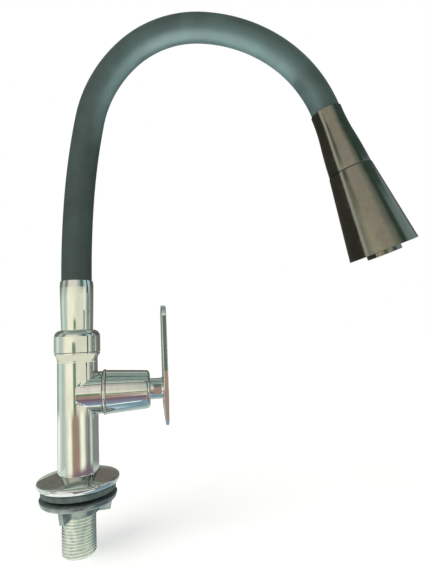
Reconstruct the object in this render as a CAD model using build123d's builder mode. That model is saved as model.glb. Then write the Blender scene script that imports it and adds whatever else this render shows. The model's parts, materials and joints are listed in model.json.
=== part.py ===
from build123d import *
from math import cos, radians, sin, sqrt
import os

os.makedirs("parts", exist_ok=True)

# Flexible kitchen tap: a threaded shank clamped through a worktop, a tee body with a
# quarter-turn valve, a swivelling ferrule, a bendable hose and a spray head.
# Millimetres and degrees. The origin is on the tap's axis, at the top of the worktop.

# Clearances
RUN_FIT = 0.06
SLIP_FIT = 0.10
LOOSE_FIT = 0.30

# Threaded shank, a half-inch pipe thread drawn at its crest diameter
THREAD_D = 20.955
RELIEF_D = 20.40
SHANK_BELOW = 37.5
CONNECT_L = 23.5
SHANK_CHAMFER = 1.2
WATERWAY_D = 13.0

# Base flange and the clamping parts
FLANGE_D = 50.9
FLANGE_FOOT_D = 47.0
FLANGE_RIM_H = 4.3
FLANGE_CURL = 0.7
FLANGE_DOME_H = 3.6
FLANGE_CROWN = 0.2
FLANGE_HOLE_D = 21.8
GASKET_D = 46.0
GASKET_T = 3.8
GASKET_ROUND = 0.9
CLAMP_GAP = 2.05
CLAMP_WASHER_D = 47.6
CLAMP_WASHER_T = 0.7
NUT_PLATE_D = 46.6
NUT_PLATE_T = 3.0
NUT_PLATE_BEVEL = 1.1
NUT_BOSS_D = 25.0
NUT_BOSS_H = 6.8
NUT_FIN_COUNT = 3
NUT_FIN_ANGLE = 18.0
NUT_FIN_R = 20.8
NUT_FIN_FOOT_R = 19.2
NUT_FIN_DROP = 7.8
NUT_FIN_T = 3.2

# Tee body
BODY_D = 25.6
BODY_SEAT_DEPTH = 2.6
SHANK_SOCKET_H = 16.0
RIM_D = 28.8
RIM_TOP = 86.7
RIM_H = 2.2
RIM_CHAMFER = 1.9
NECK_D = 24.8
NECK_H = 7.4
SPOUT_BORE_D = 17.6
SPOUT_BORE_DEPTH = 20.0
FEED_D = 8.0
OUTLET_D = 4.0

# Valve branch, which stands a little behind the plane of the arch
VALVE_Z = 60.2
VALVE_TURN = 12.0
BRANCH_D = 27.2
BRANCH_L = 15.9
CHAMBER_D = 20.4
CHAMBER_START = 6.0
SEAT_D = 9.0

# Valve headwork
SEAL_T = 1.6
DISC_D = 14.8
DISC_T = 2.6
DISC_WINDOW_D = 4.4
DISC_WINDOW_R = 4.2
HEX_AF = 21.4
HEX_T = 3.0
BARREL_D = 16.0
BARREL_END = 38.0
SPINDLE_D = 8.0
SPINDLE_FOOT_D = 14.4
SPINDLE_FOOT_T = 3.0
SPLINE_D = 7.2
SPINDLE_END = 51.5
STEM_RING_D = 1.2
STEM_RING_PITCH = 4.0
CIRCLIP_T = 0.8
CIRCLIP_D = 12.0

# Bead ring and bonnet cover
BEAD_D = 29.4
BEAD_T = 2.0
BEAD_START = 16.2
COVER_START = 18.4
COVER_END = 46.5
COVER_FOOT_D = 28.3
COVER_NOSE_D = 24.9
COVER_WALL = 1.3
COVER_ROUND = 3.0

# Lever
LEVER_NECK_D = 13.8
LEVER_NECK_START = 40.5
PLATE_START = 55.2
PLATE_T = 3.2
PLATE_UP = 55.5
PLATE_DOWN = 24.7
PLATE_HUB_R = 10.5
PLATE_TOP_R = 7.6
PLATE_TIP_R = 6.4
PLATE_ROUND = 0.9
TIP_BEVEL_H = 13.0
TIP_BEVEL_T = 1.3
LEVER_SCREW_D = 4.0
LEVER_SCREW_HEAD_D = 7.0
LEVER_SCREW_HEAD_T = 1.2
LEVER_SCREW_L = 11.0
CAP_D = 9.0
CAP_T = 0.9

# Spout nut, swivel ferrule and its seals
SPOUT_NUT_D = 29.2
SPOUT_NUT_JOINT = 0.25
SPOUT_NUT_TOP = 101.3
SPOUT_NUT_ROUND = 4.6
FERRULE_FOOT_D = 20.2
FERRULE_TOP_D = 21.5
FERRULE_LIP_D = 21.3
FERRULE_LIP_H = 1.8
FERRULE_MOUTH_D = 20.9
FERRULE_MOUTH_Z = 133.6
FERRULE_BARREL_Z = 129.0
FERRULE_FLANGE_D = 24.2
FERRULE_FLANGE_T = 2.4
FERRULE_BORE_D = 9.0
SLIP_RING_T = 0.6
SPOUT_STEM_L = 18.0
SPOUT_RING_D = 2.4
SPOUT_RING_PITCH = 5.0
CUP_FLOOR_Z = 115.4
NIPPLE_FLANGE_D = 15.0
NIPPLE_FLANGE_T = 2.6
NIPPLE_THREAD_D = 12.0
NIPPLE_THREAD_L = 7.5
FOOT_TAIL_L = 14.0
HEAD_TAIL_L = 6.0
NIPPLE_BORE_D = 4.6

# Bendable hose: silicone sleeve, jointed steel gooseneck and water tube, in equal links
SLEEVE_D = 19.66
SLEEVE_BORE_D = 15.6
GOOSENECK_D = 15.0
GOOSENECK_BORE_D = 10.4
WATER_TUBE_D = 9.6
WATER_TUBE_BORE_D = 6.8
BALL_GAP = 0.15
SOCKET_LIP = 3.3
LINK_LENGTH = 56.7
LINK_TURNS = (4.8, 6.8, 37.1, 47.7, 32.5, 32.5)
LAST_LINK_TWIST = 7.0

# Spray head, measured along its own axis from the hose
HEAD_MOUTH_D = 21.3
HEAD_HOLLOW = 0.4
HEAD_WAIST_AT = 20.0
HEAD_WAIST_D = 23.9
HEAD_SWELL = 0.24
HEAD_JOINT_AT = 44.0
HEAD_JOINT_D = 29.2
HEAD_JOINT_GAP = 0.3
CONE_MOUTH_D = 29.9
HEAD_RIM_AT = 103.3
HEAD_RIM_D = 46.5
HEAD_WALL = 1.7
HEAD_WEB_START = 3.2
HEAD_WEB_END = 14.0
CORE_D = 20.0
CORE_START = 14.2
JOURNAL_D = 17.0
JOURNAL_END = 64.0
CORE_BORE_D = 8.0
BEARING_L = 13.0
CORE_RING_D = 1.8
CORE_CLIP_T = 1.0
CORE_CLIP_D = 20.0
CORE_CLIP_AT = 59.0
DIVERTER_AT = 68.0
DIVERTER_T = 3.0
FACE_DEPTH = 3.4
FACE_T = 3.0
FACE_HOLES = 20
FACE_HOLE_D = 2.6
FACE_HOLE_R = 15.6
NUB_D = 2.4
NUB_H = 2.0
NUB_BORE_D = 0.9
NUB_SKIN_T = 0.8
NOZZLE_D = 23.4
NOZZLE_BORE_D = 20.0
NOZZLE_PROUD = 3.0
NOZZLE_L = 13.0
AERATOR_T = 6.0
AERATOR_RECESS = 1.0
AERATOR_LEDGE = 1.0
AERATOR_CELL = 2.2
AERATOR_CELL_WALL = 0.5
AERATOR_RIM = 1.5

# Heights worked out from the sizes above
FLANGE_UNDER = GASKET_T
FLANGE_RIM_Z = FLANGE_UNDER + FLANGE_RIM_H
FLANGE_TOP_Z = FLANGE_RIM_Z + FLANGE_DOME_H
BODY_FOOT_Z = FLANGE_TOP_Z - BODY_SEAT_DEPTH
SHANK_TOP_Z = BODY_FOOT_Z + SHANK_SOCKET_H
CLAMP_WASHER_TOP = -CLAMP_GAP
NUT_TOP = CLAMP_WASHER_TOP - CLAMP_WASHER_T
NUT_UNDER = NUT_TOP - NUT_PLATE_T
NUT_FIN_ROOT_R = (NUT_BOSS_D + THREAD_D) / 4
NECK_TOP_Z = RIM_TOP + NECK_H
RING_LOW_Z = NECK_TOP_Z + SLIP_RING_T
RING_HIGH_Z = RING_LOW_Z + FERRULE_FLANGE_T
ROOF_Z = RING_HIGH_Z + SLIP_RING_T
STEM_FOOT_Z = NECK_TOP_Z - SPOUT_STEM_L
SPOUT_FLOOR_Z = NECK_TOP_Z - SPOUT_BORE_DEPTH
STEM_D = SPOUT_BORE_D - 2 * RUN_FIT
HOSE_START_Z = CUP_FLOOR_Z + NIPPLE_FLANGE_T

# Stations along the valve, each from the one before it
SEAL_END = CHAMBER_START + SEAL_T
FIXED_DISC_END = SEAL_END + DISC_T
MOVING_DISC_END = FIXED_DISC_END + DISC_T
FOOT_END = MOVING_DISC_END + SPINDLE_FOOT_T
HEX_END = BRANCH_L + HEX_T
HEAD_SEAT = PLATE_START + PLATE_T - CAP_T - LEVER_SCREW_HEAD_T
SCREW_END = HEAD_SEAT - LEVER_SCREW_L

# Stations along the head
CORE_RING_AT = HEAD_JOINT_AT + BEARING_L / 2
SHELL_START = HEAD_JOINT_AT + HEAD_JOINT_GAP
BEARING_END = HEAD_JOINT_AT + BEARING_L
FACE_AT = HEAD_RIM_AT - FACE_DEPTH - FACE_T
NOZZLE_END = HEAD_RIM_AT + NOZZLE_PROUD
AERATOR_AT = NOZZLE_END - AERATOR_T - AERATOR_RECESS

# Planes and axes that several pieces share
VALVE_DIR = Vector(cos(radians(VALVE_TURN)), sin(radians(VALVE_TURN)), 0)
VALVE_ORIGIN = Vector(0, 0, VALVE_Z)
VALVE_AXIS = Axis(VALVE_ORIGIN, VALVE_DIR)
VALVE_SECTION = Plane(VALVE_ORIGIN, x_dir=VALVE_DIR, z_dir=VALVE_DIR.cross(Vector(0, 0, 1)))


def valve_plane(along):
    """The plane square to the valve's axis, this far out, with local Y upwards."""
    return Plane(VALVE_ORIGIN + VALVE_DIR * along, x_dir=VALVE_DIR.cross(Vector(0, 0, -1)), z_dir=VALVE_DIR)


def turned(section, axis, points, mode=Mode.ADD):
    """Turn a closed outline about an axis, into the part that is being built."""
    with BuildSketch(section) as outline:
        with BuildLine():
            Polyline(*points, close=True)
        make_face()
    revolve(outline.sketch, axis=axis, mode=mode)


def o_ring(section, axis, place, thickness):
    """Turn a round bead about an axis; the place is in the section's own coordinates."""
    with BuildSketch(section) as bead:
        with Locations(place):
            Circle(thickness / 2)
    revolve(bead.sketch, axis=axis)


# The hose's line: a frame at each link's start, x towards the bend's centre and z along it
def next_frame(frame, turn, length):
    """The frame at the far end of an arc of this turn and length."""
    radius = length / radians(turn)
    along, across = frame.z_dir, frame.x_dir
    c, s = cos(radians(turn)), sin(radians(turn))
    return Plane(
        frame.origin + across * radius * (1 - c) + along * radius * s,
        x_dir=across * c - along * s,
        z_dir=along * c + across * s,
    )


HOSE_FOOT = Plane((0, 0, FERRULE_MOUTH_Z), x_dir=(1, 0, 0), z_dir=(0, 0, 1))
LINK_FRAMES = [HOSE_FOOT]
for number, turn in enumerate(LINK_TURNS):
    if number == len(LINK_TURNS) - 1:
        last = LINK_FRAMES[-1]
        twisted = last.x_dir * cos(radians(LAST_LINK_TWIST)) + last.y_dir * sin(radians(LAST_LINK_TWIST))
        LINK_FRAMES[-1] = Plane(last.origin, x_dir=twisted, z_dir=last.z_dir)
    LINK_FRAMES.append(next_frame(LINK_FRAMES[-1], turn, LINK_LENGTH))

HEAD_FRAME = LINK_FRAMES[-1]
HEAD_AXIS = Axis(HEAD_FRAME.origin, HEAD_FRAME.z_dir)
HEAD_SECTION = Plane(HEAD_FRAME.origin, x_dir=HEAD_FRAME.z_dir, z_dir=HEAD_FRAME.y_dir)


def head_plane(along):
    """The plane square to the head's axis, this far from the hose."""
    return Plane(HEAD_FRAME.origin + HEAD_FRAME.z_dir * along, x_dir=HEAD_FRAME.x_dir, z_dir=HEAD_FRAME.z_dir)


def cone_radius(along):
    """The lower shell's outer radius, this far along the head."""
    slope = (HEAD_RIM_D - CONE_MOUTH_D) / 2 / (HEAD_RIM_AT - HEAD_JOINT_AT)
    return CONE_MOUTH_D / 2 + slope * (along - HEAD_JOINT_AT)


# Outlet passage: from the valve chamber's top, slanting in to the spout bore's floor
outlet_rise = (CHAMBER_D - OUTLET_D) / 2
outlet_foot = VALVE_ORIGIN + VALVE_DIR * (FIXED_DISC_END + DISC_T / 2) + Vector(0, 0, outlet_rise)
outlet_head = VALVE_DIR * (SPOUT_BORE_D / 2 - OUTLET_D) + Vector(0, 0, SPOUT_FLOOR_Z + OUTLET_D / 4)
OUTLET = Plane(outlet_foot, z_dir=outlet_head - outlet_foot)
OUTLET_L = (outlet_head - outlet_foot).length

# Threaded shank: connection thread below, a slightly slimmer stretch under the lock nut
with BuildPart() as threaded_shank:
    turned(
        Plane.XZ,
        Axis.Z,
        (
            (WATERWAY_D / 2, -SHANK_BELOW),
            (THREAD_D / 2 - SHANK_CHAMFER, -SHANK_BELOW),
            (THREAD_D / 2, -SHANK_BELOW + SHANK_CHAMFER),
            (THREAD_D / 2, -SHANK_BELOW + CONNECT_L),
            (RELIEF_D / 2, -SHANK_BELOW + CONNECT_L),
            (RELIEF_D / 2, SHANK_TOP_Z),
            (WATERWAY_D / 2, SHANK_TOP_Z),
        ),
    )
threaded_shank.part.label = "threaded_shank"
export_step(threaded_shank.part, "parts/threaded_shank.step")

# Base flange: a domed polished disc whose rim curves in to its foot
with BuildPart() as base_flange:
    with BuildSketch(Plane.XZ):
        with BuildLine():
            Line((FLANGE_HOLE_D / 2, FLANGE_UNDER), (FLANGE_FOOT_D / 2, FLANGE_UNDER))
            ThreePointArc(
                (FLANGE_FOOT_D / 2, FLANGE_UNDER),
                (FLANGE_D / 2 - FLANGE_CURL, FLANGE_UNDER + FLANGE_RIM_H / 2),
                (FLANGE_D / 2, FLANGE_RIM_Z),
            )
            ThreePointArc(
                (FLANGE_D / 2, FLANGE_RIM_Z),
                ((FLANGE_D + BODY_D) / 4, FLANGE_RIM_Z + FLANGE_DOME_H / 2 + FLANGE_CROWN),
                (BODY_D / 2 + SLIP_FIT, FLANGE_TOP_Z),
            )
            Polyline(
                (BODY_D / 2 + SLIP_FIT, FLANGE_TOP_Z),
                (BODY_D / 2 + SLIP_FIT, BODY_FOOT_Z),
                (FLANGE_HOLE_D / 2, BODY_FOOT_Z),
                (FLANGE_HOLE_D / 2, FLANGE_UNDER),
            )
        make_face()
    revolve(axis=Axis.Z)
base_flange.part.label = "base_flange"
export_step(base_flange.part, "parts/base_flange.step")

# Deck gasket: thick rubber ring between the flange and the worktop
with BuildPart() as deck_gasket:
    with BuildSketch():
        Circle(GASKET_D / 2)
        Circle(FLANGE_HOLE_D / 2, mode=Mode.SUBTRACT)
    extrude(amount=GASKET_T)
    fillet(deck_gasket.edges().filter_by(GeomType.CIRCLE).sort_by(SortBy.RADIUS)[-2:], GASKET_ROUND)
deck_gasket.part.label = "deck_gasket"
export_step(deck_gasket.part, "parts/deck_gasket.step")

# Clamp washer: thin rubber ring that lies on the lock nut
with BuildPart() as clamp_washer:
    with BuildSketch(Plane.XY.offset(CLAMP_WASHER_TOP)):
        Circle(CLAMP_WASHER_D / 2)
        Circle(FLANGE_HOLE_D / 2, mode=Mode.SUBTRACT)
    extrude(amount=-CLAMP_WASHER_T)
clamp_washer.part.label = "clamp_washer"
export_step(clamp_washer.part, "parts/clamp_washer.step")

# Lock nut: round plate, centre boss and radial fins for a box spanner
with BuildPart() as lock_nut:
    turned(
        Plane.XZ,
        Axis.Z,
        (
            (THREAD_D / 2 + RUN_FIT, NUT_TOP),
            (NUT_PLATE_D / 2, NUT_TOP),
            (NUT_PLATE_D / 2, NUT_UNDER + NUT_PLATE_BEVEL),
            (NUT_PLATE_D / 2 - NUT_PLATE_BEVEL, NUT_UNDER),
            (NUT_BOSS_D / 2, NUT_UNDER),
            (NUT_BOSS_D / 2, NUT_UNDER - NUT_BOSS_H),
            (THREAD_D / 2 + RUN_FIT, NUT_UNDER - NUT_BOSS_H),
        ),
    )
    for count in range(NUT_FIN_COUNT):
        fin_plane = Plane.XZ.rotated((0, 0, NUT_FIN_ANGLE + 360 / NUT_FIN_COUNT * count))
        with BuildSketch(fin_plane):
            with BuildLine():
                Polyline(
                    (NUT_FIN_ROOT_R, NUT_TOP - NUT_PLATE_T / 2),
                    (NUT_FIN_R, NUT_TOP - NUT_PLATE_T / 2),
                    (NUT_FIN_R, NUT_UNDER),
                    (NUT_FIN_FOOT_R, NUT_UNDER - NUT_FIN_DROP),
                    (NUT_BOSS_D / 2, NUT_UNDER - NUT_FIN_DROP),
                    (NUT_FIN_ROOT_R, NUT_UNDER - NUT_BOSS_H),
                    close=True,
                )
            make_face()
        extrude(amount=NUT_FIN_T / 2, both=True)
lock_nut.part.label = "lock_nut"
export_step(lock_nut.part, "parts/lock_nut.step")

# Tee body: column, branch, rim and threaded neck, drilled for shank, valve and spout
with BuildPart() as tee_body:
    turned(
        Plane.XZ,
        Axis.Z,
        (
            (0, BODY_FOOT_Z),
            (BODY_D / 2, BODY_FOOT_Z),
            (BODY_D / 2, RIM_TOP - RIM_H - RIM_CHAMFER),
            (RIM_D / 2, RIM_TOP - RIM_H),
            (RIM_D / 2, RIM_TOP),
            (NECK_D / 2, RIM_TOP),
            (NECK_D / 2, NECK_TOP_Z),
            (0, NECK_TOP_Z),
        ),
    )
    with BuildSketch(valve_plane(0)):
        Circle(BRANCH_D / 2)
    extrude(amount=BRANCH_L)
    with BuildSketch(Plane.XY.offset(BODY_FOOT_Z)):
        Circle(RELIEF_D / 2 + SLIP_FIT)
    extrude(amount=SHANK_SOCKET_H, mode=Mode.SUBTRACT)
    with BuildSketch(Plane.XY.offset(SHANK_TOP_Z)):
        Circle(FEED_D / 2)
    extrude(amount=VALVE_Z - SHANK_TOP_Z, mode=Mode.SUBTRACT)
    with BuildSketch(valve_plane(0)):
        Circle(SEAT_D / 2)
    extrude(amount=BRANCH_L, mode=Mode.SUBTRACT)
    with BuildSketch(valve_plane(CHAMBER_START)):
        Circle(CHAMBER_D / 2)
    extrude(amount=BRANCH_L, mode=Mode.SUBTRACT)
    with BuildSketch(Plane.XY.offset(NECK_TOP_Z)):
        Circle(SPOUT_BORE_D / 2)
    extrude(amount=-SPOUT_BORE_DEPTH, mode=Mode.SUBTRACT)
    with BuildSketch(OUTLET):
        Circle(OUTLET_D / 2)
    extrude(amount=OUTLET_L, mode=Mode.SUBTRACT)
tee_body.part.label = "tee_body"
export_step(tee_body.part, "parts/tee_body.step")

# Spout nut: rounded collar screwed on the body's neck, which holds the ferrule down
with BuildPart() as spout_nut:
    turned(
        Plane.XZ,
        Axis.Z,
        (
            (NECK_D / 2 + SLIP_FIT, RIM_TOP + SPOUT_NUT_JOINT),
            (SPOUT_NUT_D / 2, RIM_TOP + SPOUT_NUT_JOINT),
            (SPOUT_NUT_D / 2, SPOUT_NUT_TOP),
            (FERRULE_FOOT_D / 2 + RUN_FIT, SPOUT_NUT_TOP),
            (FERRULE_FOOT_D / 2 + RUN_FIT, ROOF_Z),
            (NECK_D / 2 + SLIP_FIT, ROOF_Z),
        ),
    )
    top_edge = spout_nut.edges().filter_by(GeomType.CIRCLE).filter_by_position(
        Axis.Z, SPOUT_NUT_TOP - SLIP_FIT, SPOUT_NUT_TOP + SLIP_FIT
    )
    shoulder = min(SPOUT_NUT_ROUND, 0.98 * (SPOUT_NUT_D - FERRULE_FOOT_D) / 2)
    fillet(top_edge.sort_by(SortBy.RADIUS)[-1], shoulder)
spout_nut.part.label = "spout_nut"
export_step(spout_nut.part, "parts/spout_nut.step")

# Slip rings: plastic washers under and over the ferrule's flange
with BuildPart() as slip_rings:
    for low in (NECK_TOP_Z, RING_HIGH_Z):
        with BuildSketch(Plane.XY.offset(low)):
            Circle(FERRULE_FLANGE_D / 2)
            Circle(FERRULE_FOOT_D / 2 + LOOSE_FIT, mode=Mode.SUBTRACT)
        extrude(amount=SLIP_RING_T)
slip_rings.part.label = "slip_rings"
export_step(slip_rings.part, "parts/slip_rings.step")

# Swivel ferrule: stem with ring grooves, flange, and the tapered cup that takes the hose
with BuildPart() as swivel_ferrule:
    turned(
        Plane.XZ,
        Axis.Z,
        (
            (FERRULE_BORE_D / 2, STEM_FOOT_Z),
            (STEM_D / 2, STEM_FOOT_Z),
            (STEM_D / 2, RING_LOW_Z),
            (FERRULE_FLANGE_D / 2, RING_LOW_Z),
            (FERRULE_FLANGE_D / 2, RING_HIGH_Z),
            (FERRULE_FOOT_D / 2, RING_HIGH_Z),
            (FERRULE_FOOT_D / 2, SPOUT_NUT_TOP),
            (FERRULE_TOP_D / 2, FERRULE_BARREL_Z),
            (FERRULE_LIP_D / 2, FERRULE_MOUTH_Z - FERRULE_LIP_H),
            (FERRULE_MOUTH_D / 2, FERRULE_MOUTH_Z),
            (SLEEVE_D / 2 + LOOSE_FIT, FERRULE_MOUTH_Z),
            (SLEEVE_D / 2 + LOOSE_FIT, CUP_FLOOR_Z),
            (NIPPLE_THREAD_D / 2 + SLIP_FIT, CUP_FLOOR_Z),
            (NIPPLE_THREAD_D / 2 + SLIP_FIT, CUP_FLOOR_Z - NIPPLE_THREAD_L - SLIP_FIT),
            (FERRULE_BORE_D / 2, CUP_FLOOR_Z - NIPPLE_THREAD_L - SLIP_FIT),
        ),
    )
    for count in range(2):
        ring_z = STEM_FOOT_Z + SPOUT_RING_PITCH * (count + 1)
        with BuildSketch(Plane.XY.offset(ring_z - SPOUT_RING_D / 2 - SLIP_FIT)):
            Circle(STEM_D / 2 + SLIP_FIT)
            Circle(SPOUT_BORE_D / 2 - SPOUT_RING_D - SLIP_FIT, mode=Mode.SUBTRACT)
        extrude(amount=SPOUT_RING_D + 2 * SLIP_FIT, mode=Mode.SUBTRACT)
swivel_ferrule.part.label = "swivel_ferrule"
export_step(swivel_ferrule.part, "parts/swivel_ferrule.step")

# Spout O-rings, in the stem's grooves
with BuildPart() as spout_o_rings:
    for count in range(2):
        ring_z = STEM_FOOT_Z + SPOUT_RING_PITCH * (count + 1)
        ring_r = SPOUT_BORE_D / 2 - SPOUT_RING_D / 2 - RUN_FIT
        o_ring(Plane.XZ, Axis.Z, (ring_r, ring_z), SPOUT_RING_D - 2 * RUN_FIT)
spout_o_rings.part.label = "spout_o_rings"
export_step(spout_o_rings.part, "parts/spout_o_rings.step")

# Hose nipple at the foot: screwed into the cup's floor, its tail inside the water tube
with BuildPart() as foot_nipple:
    turned(
        Plane.XZ,
        Axis.Z,
        (
            (NIPPLE_BORE_D / 2, CUP_FLOOR_Z - NIPPLE_THREAD_L),
            (NIPPLE_THREAD_D / 2, CUP_FLOOR_Z - NIPPLE_THREAD_L),
            (NIPPLE_THREAD_D / 2, CUP_FLOOR_Z),
            (NIPPLE_FLANGE_D / 2, CUP_FLOOR_Z),
            (NIPPLE_FLANGE_D / 2, HOSE_START_Z),
            (WATER_TUBE_BORE_D / 2 - SLIP_FIT, HOSE_START_Z),
            (WATER_TUBE_BORE_D / 2 - SLIP_FIT, HOSE_START_Z + FOOT_TAIL_L),
            (NIPPLE_BORE_D / 2, HOSE_START_Z + FOOT_TAIL_L),
        ),
    )
foot_nipple.part.label = "foot_nipple"
export_step(foot_nipple.part, "parts/foot_nipple.step")


def bent_tube(number, outer_d, bore_d):
    """One link's arc of tube, with the straight foot added to the first link."""
    frame = LINK_FRAMES[number]
    turn = LINK_TURNS[number]
    radius = LINK_LENGTH / radians(turn)
    bend_axis = Axis(frame.origin + frame.x_dir * radius, frame.y_dir)
    with BuildSketch(frame) as section:
        Circle(outer_d / 2)
        Circle(bore_d / 2, mode=Mode.SUBTRACT)
    revolve(section.sketch, axis=bend_axis, revolution_arc=turn)
    if number == 0:
        extrude(section.sketch, amount=-(FERRULE_MOUTH_Z - HOSE_START_Z))


# Hose links: each sleeve and water tube meets the next face to face at the bend
for number in range(len(LINK_TURNS)):
    name = f"sleeve_{number + 1}"
    with BuildPart() as sleeve:
        bent_tube(number, SLEEVE_D, SLEEVE_BORE_D)
    sleeve.part.label = name
    export_step(sleeve.part, f"parts/{name}.step")

    name = f"water_tube_{number + 1}"
    with BuildPart() as water_tube:
        bent_tube(number, WATER_TUBE_D, WATER_TUBE_BORE_D)
    water_tube.part.label = name
    export_step(water_tube.part, f"parts/{name}.step")

# Gooseneck links: a ball at each link's end turns in the socket of the next
for number in range(len(LINK_TURNS)):
    name = f"gooseneck_{number + 1}"
    start = LINK_FRAMES[number]
    end = next_frame(start, LINK_TURNS[number], LINK_LENGTH)
    with BuildPart() as gooseneck:
        bent_tube(number, GOOSENECK_D, GOOSENECK_BORE_D)
        if number < len(LINK_TURNS) - 1:
            ball_edge = sqrt((GOOSENECK_D / 2) ** 2 - (GOOSENECK_BORE_D / 2) ** 2)
            ball_section = Plane(end.origin, x_dir=end.z_dir, z_dir=end.y_dir)
            with BuildSketch(ball_section):
                with BuildLine():
                    Line((0, GOOSENECK_BORE_D / 2), (0, GOOSENECK_D / 2))
                    RadiusArc((0, GOOSENECK_D / 2), (ball_edge, GOOSENECK_BORE_D / 2), GOOSENECK_D / 2)
                    Line((ball_edge, GOOSENECK_BORE_D / 2), (0, GOOSENECK_BORE_D / 2))
                make_face()
            revolve(axis=Axis(end.origin, end.z_dir))
        if number > 0:
            with BuildSketch(start):
                Circle(GOOSENECK_D)
            extrude(amount=SOCKET_LIP, mode=Mode.SUBTRACT)
            socket_section = Plane(start.origin, x_dir=start.z_dir, z_dir=start.y_dir)
            with BuildSketch(socket_section):
                with BuildLine():
                    CenterArc((0, 0), GOOSENECK_D / 2 + BALL_GAP, 0, 180)
                    Line((-GOOSENECK_D / 2 - BALL_GAP, 0), (GOOSENECK_D / 2 + BALL_GAP, 0))
                make_face()
            revolve(axis=Axis(start.origin, start.z_dir), mode=Mode.SUBTRACT)
    gooseneck.part.label = name
    export_step(gooseneck.part, f"parts/{name}.step")

# Hose nipple at the head: flange on the gooseneck's end, thread in the upper shell's web
with BuildPart() as head_nipple:
    turned(
        HEAD_SECTION,
        HEAD_AXIS,
        (
            (-HEAD_TAIL_L, NIPPLE_BORE_D / 2),
            (-HEAD_TAIL_L, WATER_TUBE_BORE_D / 2 - 3 * SLIP_FIT),
            (0, WATER_TUBE_BORE_D / 2 - 3 * SLIP_FIT),
            (0, NIPPLE_FLANGE_D / 2),
            (NIPPLE_FLANGE_T, NIPPLE_FLANGE_D / 2),
            (NIPPLE_FLANGE_T, NIPPLE_THREAD_D / 2),
            (HEAD_WEB_END, NIPPLE_THREAD_D / 2),
            (HEAD_WEB_END, NIPPLE_BORE_D / 2),
        ),
    )
head_nipple.part.label = "head_nipple"
export_step(head_nipple.part, "parts/head_nipple.step")

# Upper shell of the head: slim mouth, gentle flare to the joint line
with BuildPart() as head_upper_shell:
    with BuildSketch(HEAD_SECTION):
        with BuildLine():
            SagittaArc((0, HEAD_MOUTH_D / 2), (HEAD_WAIST_AT, HEAD_WAIST_D / 2), -HEAD_HOLLOW)
            SagittaArc((HEAD_WAIST_AT, HEAD_WAIST_D / 2), (HEAD_JOINT_AT, HEAD_JOINT_D / 2), HEAD_SWELL)
            Polyline(
                (HEAD_JOINT_AT, HEAD_JOINT_D / 2),
                (HEAD_JOINT_AT, CORE_D / 2 + SLIP_FIT),
                (HEAD_WEB_END, CORE_D / 2 + SLIP_FIT),
                (HEAD_WEB_END, NIPPLE_THREAD_D / 2 + SLIP_FIT),
                (HEAD_WEB_START, NIPPLE_THREAD_D / 2 + SLIP_FIT),
                (HEAD_WEB_START, NIPPLE_FLANGE_D / 2 + SLIP_FIT),
                (0, NIPPLE_FLANGE_D / 2 + SLIP_FIT),
                (0, HEAD_MOUTH_D / 2),
            )
        make_face()
    revolve(axis=HEAD_AXIS)
head_upper_shell.part.label = "head_upper_shell"
export_step(head_upper_shell.part, "parts/head_upper_shell.step")

# Head core: the tube that carries the water and bears the turning lower shell
with BuildPart() as head_core:
    turned(
        HEAD_SECTION,
        HEAD_AXIS,
        (
            (CORE_START, CORE_BORE_D / 2),
            (CORE_START, CORE_D / 2),
            (HEAD_JOINT_AT, CORE_D / 2),
            (HEAD_JOINT_AT, JOURNAL_D / 2),
            (JOURNAL_END, JOURNAL_D / 2),
            (JOURNAL_END, CORE_BORE_D / 2),
        ),
    )
    for along, thickness, floor_d in (
        (CORE_RING_AT, CORE_RING_D, JOURNAL_D - 2 * CORE_RING_D),
        (CORE_CLIP_AT, CORE_CLIP_T, JOURNAL_D - 2 * CORE_CLIP_T),
    ):
        with BuildSketch(head_plane(along - thickness / 2 - SLIP_FIT)):
            Circle(JOURNAL_D / 2 + SLIP_FIT)
            Circle(floor_d / 2 - SLIP_FIT, mode=Mode.SUBTRACT)
        extrude(amount=thickness + 2 * SLIP_FIT, mode=Mode.SUBTRACT)
head_core.part.label = "head_core"
export_step(head_core.part, "parts/head_core.step")

# Core O-ring, in the journal's groove
with BuildPart() as core_o_ring:
    ring_r = JOURNAL_D / 2 - CORE_RING_D / 2
    o_ring(HEAD_SECTION, HEAD_AXIS, (CORE_RING_AT, ring_r), CORE_RING_D - 2 * RUN_FIT)
core_o_ring.part.label = "core_o_ring"
export_step(core_o_ring.part, "parts/core_o_ring.step")

# Core clip: split spring ring that keeps the lower shell on the core
with BuildPart() as core_clip:
    with BuildSketch(head_plane(CORE_CLIP_AT - CORE_CLIP_T / 2)):
        Circle(CORE_CLIP_D / 2)
        Circle(JOURNAL_D / 2 - CORE_CLIP_T, mode=Mode.SUBTRACT)
        with Locations((CORE_CLIP_D / 2, 0)):
            Rectangle(CORE_CLIP_D, CORE_CLIP_T * 3, mode=Mode.SUBTRACT)
    extrude(amount=CORE_CLIP_T)
core_clip.part.label = "core_clip"
export_step(core_clip.part, "parts/core_clip.step")

# Lower shell of the head: wide cone that turns on the core to change the spray
with BuildPart() as head_lower_shell:
    turned(
        HEAD_SECTION,
        HEAD_AXIS,
        (
            (SHELL_START, JOURNAL_D / 2 + RUN_FIT),
            (SHELL_START, cone_radius(SHELL_START)),
            (HEAD_RIM_AT, cone_radius(HEAD_RIM_AT)),
            (HEAD_RIM_AT, cone_radius(HEAD_RIM_AT) - HEAD_WALL),
            (BEARING_END, cone_radius(BEARING_END) - HEAD_WALL),
            (BEARING_END, JOURNAL_D / 2 + RUN_FIT),
        ),
    )
head_lower_shell.part.label = "head_lower_shell"
export_step(head_lower_shell.part, "parts/head_lower_shell.step")

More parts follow.
